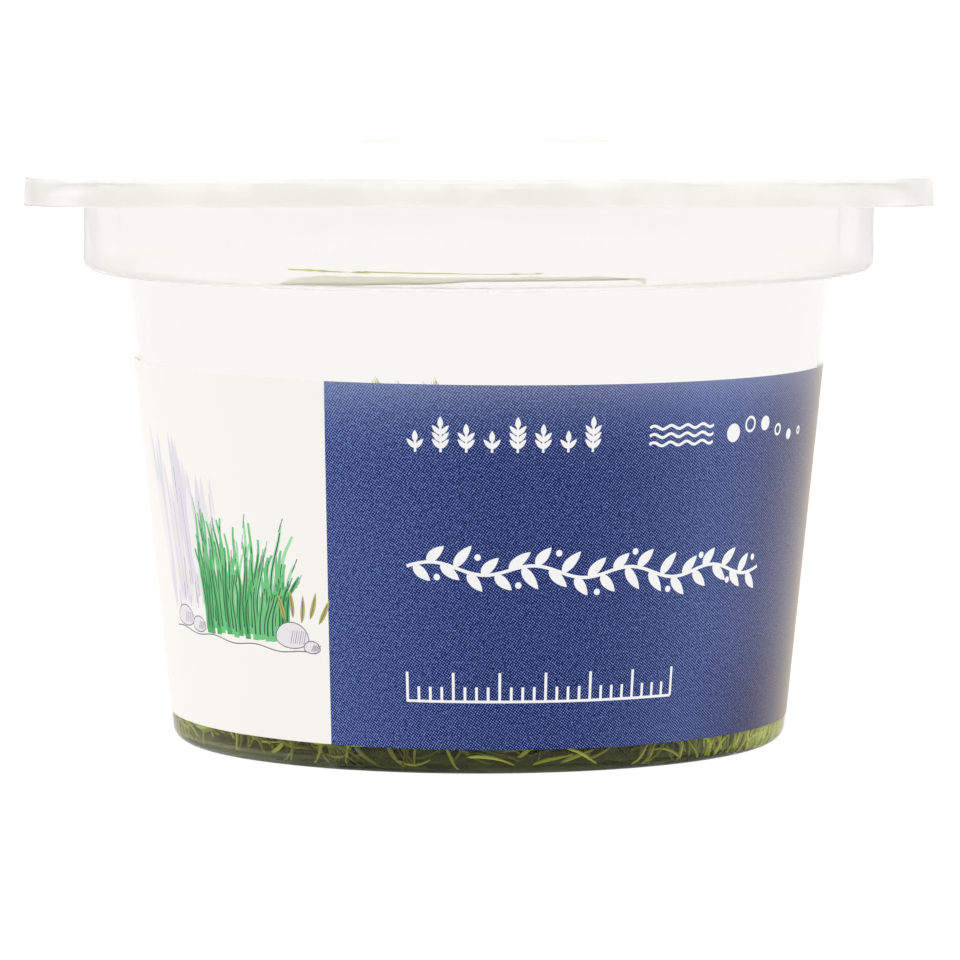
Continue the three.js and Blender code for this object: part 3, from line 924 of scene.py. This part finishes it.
def lay_out(shapes, names):
    """Triangles of the flat strip, and the number of the ink of each."""
    points, faces = [], []
    for outline, ink in shapes:
        outline = outline if signed_area(outline) > 0 else list(reversed(outline))
        faces.append(list(range(len(points), len(points) + len(outline))))
        points += [Vector(p) for p in outline]
    edges = []
    count = int((RIGHT_END - LEFT_END) / BEND_EVERY)
    for i in range(1, count):
        u = LEFT_END + (RIGHT_END - LEFT_END) * i / count
        edges.append((len(points), len(points) + 1))
        points += [Vector((u, LABEL_FOOT)), Vector((u, LABEL_HEAD))]
    flat, _, triangles, _, _, holders = delaunay_2d_cdt(points, edges, faces, 1, 1e-5)
    return flat, triangles, [names.index(shapes[max(held)][1]) for held in holders]


print("outlines on the label:", len(label_shapes()))

# %% Bend the label round the cone
def make_label():
    """The label as a thin closed shell: printed front, plain back and a rim. It is lit as a smooth cone."""
    names = ["ink_blue", *INKS, "label_back"]
    materials = [blue_material()] + [ink_material(name, INKS[name]) for name in INKS]
    materials.append(ink_material("label_back", INKS["panel_white"]))
    flat, front, inks = lay_out(label_shapes(), names)
    count = len(flat)
    points = [on_cup(u, v, LABEL_OUT + LABEL_THICK) for u, v in flat]
    points += [on_cup(u, v, LABEL_OUT) for u, v in flat]
    back = [tuple(count + i for i in reversed(face)) for face in front]
    edges = {(a, b) for face in front for a, b in zip(face, face[1:] + face[:1])}
    rim = [(b, a, count + a, count + b) for a, b in edges if (b, a) not in edges]
    faces = [tuple(face) for face in front] + back + rim
    label = new_object("printed_label", points, faces, materials, 60)
    mesh = label.data
    plain = names.index("label_back")
    mesh.polygons.foreach_set("material_index", inks + [plain] * (len(back) + len(rim)))
    places = mesh.uv_layers.new(name="flat_mm")
    corners = [flat[loop.vertex_index % count] for loop in mesh.loops]
    places.data.foreach_set("uv", [value for corner in corners for value in corner])
    slope = (WALL_TOP_RADIUS - WALL_LOW_RADIUS) / (LEDGE_HEIGHT - WALL_LOW_HEIGHT)
    normals = []
    for number, face in enumerate(faces):
        side = 1 if number < len(front) else -1 if number < len(front) + len(back) else 0
        for i in face:
            x, y, _ = points[i]
            normals.append(Vector((x, y, -slope * math.hypot(x, y))).normalized() * side)
    mesh.normals_split_custom_set(normals)
    dress(label, "printed_label", "label")


make_label()

# %% [markdown]
# ## The jelly
# The plant stands in a shallow bed of nutrient jelly, tinted olive by what grows in it. It is a clear
# body with a colour that deepens with thickness, so light near the wall stays pale and the middle goes
# dark. A volume that absorbs light does this by itself, where a dark surface would look the same all
# over. The jelly reaches into the wall a little, because a film of air between them would shine, and its
# side has a soft bloom.

# %% Shape of the jelly
JELLY_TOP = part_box("nutrient_jelly")[1][2] / MM
JELLY_INSET = 0.12
JELLY_TINT, JELLY_DENSITY = (0.5, 0.58, 0.15, 1), 500


def jelly_material(name, haze):
    """Tinted jelly. The haze is the bloom on its side, where it lies against the wall."""
    material, tree, _ = new_material(name, {
        "Base Color": (0.97, 0.98, 0.9), "Roughness": 0.05, "IOR": 1.08, "Transmission Weight": 1.0,
        "Sheen Weight": haze, "Sheen Roughness": 0.5, "Sheen Tint": (1.0, 0.98, 0.6)})
    tint = tree.nodes.new("ShaderNodeVolumeAbsorption")
    tint.inputs["Color"].default_value = JELLY_TINT
    tint.inputs["Density"].default_value = JELLY_DENSITY
    tree.links.new(tint.outputs[0], tree.nodes["Material Output"].inputs["Volume"])
    return material


def make_jelly():
    """The bed of jelly, swept round the axis like the cup."""
    floor = RECESS_DEPTH + JELLY_INSET
    path = [(0, floor, 0), (RECESS_RADIUS - 0.8, floor, 0.5), (RECESS_RADIUS + 0.3, JELLY_INSET, 0.4),
            (wall_radius(0, JELLY_INSET), JELLY_INSET, 1.2),
            (wall_radius(JELLY_TOP, JELLY_INSET), JELLY_TOP, 0), (0, JELLY_TOP, 0)]
    points, faces = sweep(rounded_rings(path, 6), [math.radians(3 * i) for i in range(120)])
    materials = [jelly_material("olive_jelly", 0), jelly_material("hazy_jelly_side", 1)]
    jelly = new_object("jelly_bed", points, faces, materials, 30)
    for side in jelly.data.polygons:
        side.material_index = int(abs(side.normal.z) < 0.45 and side.center.xy.length > 25 * MM)
    dress(jelly, "jelly", "nutrient_jelly")


make_jelly()

# %% [markdown]
# ## The plants
# The carpet is hundreds of runners and thousands of thin leaves. A hair system could grow them, but each
# leaf here is a closed mesh of its own, flat and pointed, so that it has two faces and a real edge. A
# number stored on each leaf, its tone, chooses a green from a list, and it is lower near the leaf's foot,
# where it is darker: that darker foot is painted shade low in the tufts.

# %% Greens
def plant_material(name, greens):
    """A leafy finish: the stored tone chooses a green from the list."""
    material, tree, shader = new_material(name, {"Roughness": 0.42})
    tone = tree.nodes.new("ShaderNodeAttribute")
    tone.attribute_name = "tone"
    stops = [(i / (len(greens) - 1), green) for i, green in enumerate(greens)]
    tree.links.new(colour_ramp(tree, tone.outputs["Fac"], stops), shader.inputs["Base Color"])
    return material


# The palest green, near white, is painted light on the brightest tips.
LEAF_TONES = [(0.06, 0.11, 0.012), (0.17, 0.31, 0.025), (0.36, 0.55, 0.06), (0.93, 0.97, 0.76)]
# The runners' first, nearly black green is painted shade for the depths and foot of the mat.
RUNNER_TONES = [(0.008, 0.012, 0.004), (0.1, 0.12, 0.016), (0.4, 0.45, 0.05), (0.62, 0.66, 0.13)]
LEAF_GREEN = plant_material("leaf_green", LEAF_TONES)
RUNNER_GREEN = plant_material("runner_green", RUNNER_TONES)
print("greens:", len(LEAF_TONES), "for leaves and", len(RUNNER_TONES), "for runners")

# %% A strand, for runners and leaves
class Strands:
    """Collects many closed strands into one mesh."""

    def __init__(self):
        self.points, self.faces, self.tones = [], [], []

    def add(self, path, widths, thick, face_way, tones, sides=4):
        """A strand along a path: its widths and tones point by point, flat across the way it faces."""
        first = len(self.points)
        last = len(path) - 1
        self.points.append(path[0])
        self.tones.append(tones[0])
        for i in range(1, last):
            along = (path[i + 1] - path[i - 1]).normalized()
            across = along.cross(face_way).normalized()
            through = across.cross(along)
            for k in range(sides):
                turn = 2 * math.pi * k / sides
                offset = across * math.cos(turn) * widths[i] / 2 + through * math.sin(turn) * thick[i] / 2
                self.points.append(path[i] + offset)
                self.tones.append(tones[i])
        self.points.append(path[last])
        self.tones.append(tones[last])
        end = len(self.points) - 1
        for k in range(sides):
            n = (k + 1) % sides
            self.faces.append((first, first + 1 + n, first + 1 + k))
            for row in range(last - 2):
                a = first + 1 + row * sides
                self.faces.append((a + k, a + n, a + sides + n, a + sides + k))
            a = end - sides
            self.faces.append((a + k, a + n, end))

    def finish(self, name, material, slot, *stands_for):
        """Makes the object, with the tones stored on its points."""
        made = new_object(name, self.points, self.faces, [material], 70)
        tone = made.data.attributes.new("tone", "FLOAT", "POINT")
        tone.data.foreach_set("value", self.tones)
        dress(made, slot, *stands_for)


one_strand = Strands()
one_strand.add([Vector((0, 0, k)) for k in range(5)], [1] * 5, [1] * 5, Vector((0, 1, 0)), [0] * 5)
print("faces in a strand of five points:", len(one_strand.faces))

# %% Room inside the wall
INNER_CORNER = 1.1


def around(angle, radius, height):
    """A point in that direction from the axis, that far out and that high."""
    return Vector((radius * math.cos(angle), radius * math.sin(angle), height))


def inner_radius(height):
    """Room for plants inside the wall at a height, with the round corner at the foot."""
    room = wall_radius(max(height, 0.8), WALL)
    low = WALL + INNER_CORNER - height
    if low <= 0:
        return room
    return room - INNER_CORNER + math.sqrt(max(0.01, INNER_CORNER**2 - low**2))


def kept_inside(point, room=0.3):
    """The point moved in where it would touch the wall."""
    reach = inner_radius(point.z) - room
    flat = math.hypot(point.x, point.y)
    if flat > reach:
        return Vector((point.x * reach / flat, point.y * reach / flat, point.z))
    return point


print("room at 1 mm and at 20 mm:", round(inner_radius(1), 2), round(inner_radius(20), 2))

# %% [markdown]
# ## The runners
# Runners creep through the whole mat, and those against the wall are what shows best, in bunches that
# lean one way. They are made in four kinds: nearly black ones that close the mat, black ones round the
# floor's rim, green ones all through it, and bright ones at the wall, each along a smooth curve between
# four random corners. The black ones are painted shade in the mat's depths and at its foot. The ones at
# the wall are painted brighter at the cup's sides and darker further in, which is painted light and shade.
# Curves with a round section could make them as well, but they use the same strands as the leaves, which
# are closed and carry a tone.

# %% Paths of the green runners
RUNNER_COUNT, WALL_RUNNER_COUNT, SHADE_RUNNER_COUNT, FOOT_SHADE_RUNNER_COUNT = 620, 600, 560, 150
FOOT_ROUND = 28
# Bunches at the wall: place and spread in degrees, weight, lean in degrees and height
BUNCHES = [(-29, 3, 6, -42, 1.6), (-38, 4, 4, -28, 2.2), (-50, 6, 4, -18, 2.8), (-74, 7, 7, -20, 2.9),
           (-14, 2, 1, -50, 1.8), (-3, 3, 2, -22, 2.1), (6, 4, 2, 15, 2.2), (18, 5, 2, -15, 2.3),
           (31, 2, 2, 70, 1.9), (41, 4, 5, 100, 1.9), (52, 5, 8, 80, 1.9), (64, 6, 11, 60, 2.1),
           (78, 6, 11, 70, 2.2)]
BUNCHES += [(100 + 20 * i, 8, 3, 30 * (i % 5), 2.1) for i in range(9)]


def runner_path(pick, steps=14):
    """A runner that wanders through the mat."""
    turn = pick.uniform(0, 2 * math.pi)
    reach = FOOT_ROUND * math.sqrt(pick.random())
    here = around(turn, reach, pick.uniform(2.2, 7.6))
    heading = pick.uniform(0, 2 * math.pi)
    path = []
    for _ in range(steps):
        path.append(kept_inside(here, 0.45))
        heading += pick.uniform(-0.55, 0.55)
        step = Vector((math.cos(heading), math.sin(heading), pick.uniform(-0.45, 0.45)))
        here = here + step * pick.uniform(0.6, 1.1)
        here.z = min(8.0, max(1.6, here.z))
    return path


def wall_runner_path(pick, depth, steps=13):
    """A curved runner near the foot, where it is seen through the wall. Those of a bunch lean alike."""
    middle, spread, _, slope, height = pick.choices(BUNCHES, [bunch[2] for bunch in BUNCHES])[0]
    along = pick.gauss(0, spread) * math.radians(FOOT_ROUND)
    heading = math.radians(slope + pick.gauss(0, 22))
    corners = [Vector((along, 0))]
    for _ in range(3):
        reach = pick.uniform(0.8, 1.9)
        corners.append(corners[-1] + Vector((math.cos(heading), math.sin(heading))) * reach)
        heading += pick.uniform(-1.0, 1.0)
    level = height + pick.uniform(-0.9, 0.9) - sum(corner.y for corner in corners) / 4
    corners = [Vector((corner.x, max(0.5, corner.y + level))) for corner in corners]
    path = []
    for i in range(steps):
        share = i / (steps - 1)
        rest = 1 - share
        weights = (rest**3, 3 * rest**2 * share, 3 * rest * share**2, share**3)
        across = sum(w * corner.x for w, corner in zip(weights, corners))
        height = sum(w * corner.y for w, corner in zip(weights, corners))
        angle = math.radians(middle - 90) + across / FOOT_ROUND
        path.append(around(angle, inner_radius(height) - depth, height))
    return path


print("bunches of runners:", len(BUNCHES))

# %% Paths of the dark runners
DARK_LOWEST, DARK_STEP = 0.62, 0.62


def shade_runner_path(pick, steps=12):
    """A dark runner a little way in, painted shade that closes the mat behind the brighter ones."""
    angle, height = pick.uniform(0, 2 * math.pi), DARK_LOWEST + 4.2 * pick.random() ** 1.6
    depth, slope = 0.7 + 0.8 * pick.random(), pick.uniform(-0.25, 0.35)
    path = []
    for i in range(steps):
        path.append(around(angle, inner_radius(height) - depth * min(1, 0.2 + height / 2), height))
        angle += DARK_STEP / FOOT_ROUND
        height = max(DARK_LOWEST, height + DARK_STEP * math.sin(slope) + pick.uniform(-0.08, 0.08))
    return path


print("points along a dark runner:", len(shade_runner_path(random.Random(0))))

# %% Make the runners
def add_shade_runners(strands, pick):
    """Nearly black ones, painted shade for the mat's depths, and painted lighter higher up, where more
    light falls.
    """
    for _ in range(SHADE_RUNNER_COUNT):
        path = shade_runner_path(pick)
        size = [pick.uniform(0.8, 1.15)] * len(path)
        shade = pick.uniform(0.0, 0.12)
        # Painted light and shade: dark low in the mat and lighter higher up.
        tones = [shade + 0.3 * eased((point.z - 3) / 3) for point in path]
        out = Vector((path[0].x, path[0].y, 0)).normalized()
        strands.add(path, size, [0.4] * len(path), out, tones)


def add_foot_shade_runners(strands, pick):
    """Black ones pressed into the rim of the floor, so that no light gets in under the mat. Their black is
    painted shade at the mat's foot.
    """
    for i in range(FOOT_SHADE_RUNNER_COUNT):
        turn, height = 2 * math.pi * i / FOOT_SHADE_RUNNER_COUNT, pick.uniform(0.24, 0.3)
        radius = pick.uniform(26.8, 27.3)
        path = [around(turn + 0.02 * k, radius, height) for k in range(9)]
        # Painted shade: tone 0 gives the near-black green.
        strands.add(path, [0.46] * 9, [0.3] * 9, path[4].normalized(), [0.0] * 9)


def add_mat_runners(strands, pick):
    """Round green ones all through the mat."""
    for _ in range(RUNNER_COUNT):
        path = runner_path(pick)
        width = pick.uniform(0.35, 0.7)
        tone = pick.uniform(0.05, 0.55)
        size = [width] * len(path)
        strands.add(path, size, size, Vector((0.1, 0.2, 1)), [tone] * len(path))


def add_wall_runners(strands, pick):
    """Flat ones at the wall, with tapered ends. They are painted brighter at the cup's sides, which is
    painted light, and darker further in, which is painted shade.
    """
    for _ in range(WALL_RUNNER_COUNT):
        depth = 0.17 + 0.8 * pick.random() ** 1.5
        path = wall_runner_path(pick, depth)
        width = pick.uniform(0.14, 0.5)
        # Painted light and shade: brighter towards the cup's sides, darker the deeper a runner lies.
        aside = eased((abs(path[0].x) - 17) / 9)
        tone = min(1, max(0, pick.gauss(0.44 + 0.48 * aside, 0.2) - 0.3 * depth))
        last = len(path) - 1
        taper = [math.sin(math.pi * min(1, 1.3 * k / last)) for k in range(last + 1)]
        widths = [width * (0.55 + 0.45 * full) for full in taper]
        out = Vector((path[0].x, path[0].y, 0)).normalized()
        strands.add(path, widths, [0.28] * (last + 1), out, [tone] * (last + 1), 6)


def make_runners():
    """All four kinds in one object, with one run of random draws."""
    pick = random.Random(21)
    strands = Strands()
    for add in (add_shade_runners, add_foot_shade_runners, add_mat_runners, add_wall_runners):
        add(strands, pick)
    strands.finish("runner_tangle", RUNNER_GREEN, "runners", "runner_mat")


make_runners()

# %% [markdown]
# ## The leaves
# The leaves stand in seven tufts that nearly touch. Each leaf starts steep and leans over towards its
# tip. Scattered at random they would leave bald patches, so their feet are laid out on a sunflower's
# spiral, which fills a round patch evenly without rows. A few tall tips reach over the label's top edge
# at the front, and each of them is a sheaf of five thin blades, painted pale as painted light.

# %% One leaf
def leaf_path(foot, tip, sway, steps=10):
    """A leaf that leaves its foot steeply and leans over towards its tip, with a sideways sway."""
    rise = tip - foot
    side = Vector((-rise.y, rise.x, 0))
    side = side.normalized() if side.length > 0.01 else Vector((1, 0, 0))
    path = []
    for i in range(steps + 1):
        share = i / steps
        lean = share**1.7
        height = foot.z + rise.z * math.sin(share * 1.45) / 0.993
        place = Vector((foot.x + rise.x * lean, foot.y + rise.y * lean, height))
        place += side * sway * math.sin(share * 4.2) * share
        path.append(kept_inside(place))
    return path


def add_leaf(strands, path, width, tone, facing):
    """A leaf along a path, widest past its middle, and thinner and brighter towards its tip. Its darker
    foot is painted shade.
    """
    last = len(path) - 1
    full = [math.sin(math.pi * min(1, 0.15 + 0.85 * k / last) ** 1.6) for k in range(last + 1)]
    widths = [width * (0.5 + 0.5 * share) for share in full]
    thick = [0.16 + 0.08 * (1 - k / last) for k in range(last + 1)]
    # Painted shade: the green darkens towards the leaf's foot.
    tones = [min(1, max(0, tone * (0.35 + 0.75 * k / last))) for k in range(last + 1)]
    strands.add(path, widths, thick, facing, tones)


print("points along a leaf:", len(leaf_path(Vector((0, 0, 7)), Vector((1, 1, 20)), 0)))

# %% Tufts of leaves
LEAVES_PER_TUFT, TUFT_RADIUS, GOLDEN_TURN = 300, 9.3, 2.399963
# Where each tuft stands and how high it reaches
TUFTS = [(0, 0, 26), (-6.0, -16.5, 28), (11.3, -13.5, 24), (17.3, 3.1, 27), (6.0, 16.5, 24),
         (-11.3, 13.5, 28), (-17.3, -3.1, 26)]
# The tall tips' places across the front and their heights
TALL_TIPS = [(-10.6, 35.1), (-9.15, 35.9), (-8.9, 35.2), (-7.2, 35.6), (-7.5, 35.1), (-4.9, 35.55),
             (-3.85, 35.85)]
# The blades of each: how far beside its tip and below it they end
TIP_BLADES = [(-0.3, 0.35), (-0.13, 0.15), (0.02, 0), (0.17, 0.2), (0.33, 0.45)]
FRONT_TUFT, FRONT_REACH = 2, 30.6


def add_tall_tips(strands, pick):
    """The tips that reach over the label at the front. Their pale green is painted light."""
    for tip_x, tip_z in TALL_TIPS:
        for aside, lower in TIP_BLADES:
            foot = Vector((tip_x * 0.85, -21 + pick.uniform(-2, 2), 7))
            front = -math.sqrt(FRONT_REACH**2 - tip_x**2) + 0.5
            tip = Vector((tip_x + aside, front, tip_z - lower))
            # Painted light: a tone above 1 gives these blades the palest green.
            add_leaf(strands, leaf_path(foot, tip, 0.1), 0.27, 1.4, Vector((0.2, -1, 0.3)))


def make_tuft(number, x, y, reach):
    """A tuft about a place. Leaves at its rim are shorter and lean out further."""
    pick = random.Random(100 + number)
    strands = Strands()
    for i in range(LEAVES_PER_TUFT):
        turn = GOLDEN_TURN * i
        spread = math.sqrt((i + 0.5) / LEAVES_PER_TUFT)
        out = Vector((math.cos(turn), math.sin(turn), 0))
        start = Vector((x, y, 0)) + out * TUFT_RADIUS * spread
        foot = kept_inside(start + Vector((0, 0, pick.uniform(6.2, 8.0))), 0.6)
        tall = (reach - 8) * pick.uniform(0.4, 1.0) * (1 - 0.25 * spread)
        swing = turn + pick.uniform(-1.2, 1.2)
        lean = tall * (0.08 + 0.42 * spread * pick.random())
        tip = foot + Vector((math.cos(swing) * lean, math.sin(swing) * lean, tall))
        path = leaf_path(foot, tip, pick.uniform(-1.4, 1.4))
        facing = Vector((math.cos(swing + pick.uniform(-0.8, 0.8)), math.sin(swing), 0.3))
        add_leaf(strands, path, pick.uniform(0.55, 0.95), pick.uniform(0.35, 1.0), facing)
    if number == FRONT_TUFT:
        add_tall_tips(strands, pick)
    strands.finish(f"leaves_{number}", LEAF_GREEN, "leaves", f"leaf_tuft_{number}")


for number, (x, y, reach) in enumerate(TUFTS, 1):
    make_tuft(number, x, y, reach)

# %% [markdown]
# ## What is left on the ledge
# A little jelly ran onto the ledge at the front when the cup was filled. It lies there as a shallow
# puddle with an uneven edge, which climbs the collar's wall towards the right, and its old water line is
# a thin olive thread on that wall just above. A small section, drawn anew at each step along the corner,
# follows the collar better than a blob would. Both are thin wet traces, so they stay pieces of the scene
# without a solid.

# %% Puddle on the ledge
PUDDLE_FROM_DEG, PUDDLE_TO_DEG = -29, 24


def residue_material(name, colour, clear):
    """A wet trace that lets that share of the light through."""
    return new_material(name, {
        "Base Color": colour, "Roughness": 0.25, "IOR": 1.1, "Transmission Weight": clear})[0]


def make_puddle():
    """A lens of jelly in the corner between the ledge and the collar."""
    rows, points, faces = 60, [], []
    floor, wall = LEDGE_HEIGHT + WALL, COLLAR_RADIUS - WALL
    for i in range(rows + 1):
        share = i / rows
        angle = math.radians(PUDDLE_FROM_DEG + (PUDDLE_TO_DEG - PUDDLE_FROM_DEG) * share)
        ends = min(1, 9 * share, 9 * (1 - share)) ** 0.5
        bite = 0.5 + 0.5 * noise.noise(Vector((i * 0.23, 5.1, 0)))
        narrow = 1 - 0.55 * eased((math.degrees(angle) + 8) / 8)
        width = (1.5 + 1.5 * bite) * ends * narrow + 0.05
        lift = 0.22 * eased((math.degrees(angle) + 21) / 12) + 0.34 * eased((math.degrees(angle) + 8) / 8)
        tall = (0.75 + 0.25 * bite) * ends + 0.1
        section = [(wall - 0.1, floor + tall), (wall - width * 0.45, floor + (tall + lift) * 0.55)]
        section += [(wall - width, floor + 0.04 + lift), (wall - width * 0.5, floor + 0.02 + lift)]
        section.append((wall - 0.2, floor + 0.2 + lift))
        points += [(r * math.sin(angle), -r * math.cos(angle), z) for r, z in section]
    size = 5
    for i in range(rows):
        for k in range(size):
            a, b = i * size + k, i * size + (k + 1) % size
            faces.append((a, b, b + size, a + size))
    faces += [tuple(reversed(range(size))), tuple(range(rows * size, rows * size + size))]
    jelly = residue_material("thin_jelly", (0.76, 0.79, 0.66), 0.8)
    dress(new_object("ledge_puddle", points, faces, [jelly], 80), "jelly")


make_puddle()

# %% Water line above it
THREAD_FROM_DEG, THREAD_TO_DEG, THREAD_STEPS = -27.9, 9, 160
THREAD_HEIGHT, THREAD_FALL = 45.46, 0.004
THREAD_GAP_DEG = -18.5


def make_thread():
    """The water line: a thin uneven thread with small lumps, along the inner wall of the collar."""
    pick = random.Random(8)
    lumps = [pick.uniform(PUDDLE_FROM_DEG, PUDDLE_TO_DEG) for _ in range(9)]
    path, widths, tones = [], [], []
    for i in range(THREAD_STEPS + 1):
        deg = THREAD_FROM_DEG + (THREAD_TO_DEG - THREAD_FROM_DEG) * i / THREAD_STEPS
        fade = 1 - 0.4 * eased((deg + 6) / 5) - 0.9 * eased(1 - abs(deg - THREAD_GAP_DEG) / 1.5)
        lump = sum(math.exp(-((deg - at) / 0.4) ** 2) for at in lumps)
        radius, angle = COLLAR_RADIUS - WALL - 0.06, math.radians(deg)
        height = THREAD_HEIGHT - THREAD_FALL * (deg - THREAD_FROM_DEG)
        height += 0.1 * noise.noise(Vector((deg * 0.12, 2.2, 0)))
        path.append(Vector((radius * math.sin(angle), -radius * math.cos(angle), height)))
        widths.append((0.11 + 0.13 * min(1.3, lump)) * max(0.1, fade))
        tones.append(0.5)
    strands = Strands()
    strands.add(path, widths, [0.12] * len(path), Vector((0, -1, 0.05)), tones, 6)
    strands.finish("water_line", residue_material("olive_film", (0.6, 0.62, 0.14), 0.2), "runners")


make_thread()

# %% [markdown]
# ## Light bounces
# A ray that looks into the cup crosses skin after skin, and one that is stopped on its way comes back
# black. So it may bounce as often as it needs. Blender also blurs shiny surfaces that are seen by way of
# others, to hide noise. That would turn the clear wall milky, so it is off.

# %% Let light cross every skin
cycles = bpy.context.scene.cycles
cycles.max_bounces = cycles.transmission_bounces = cycles.glossy_bounces = 1024
cycles.transparent_max_bounces = 16
cycles.blur_glossy = 0
print("bounces at most:", cycles.max_bounces)
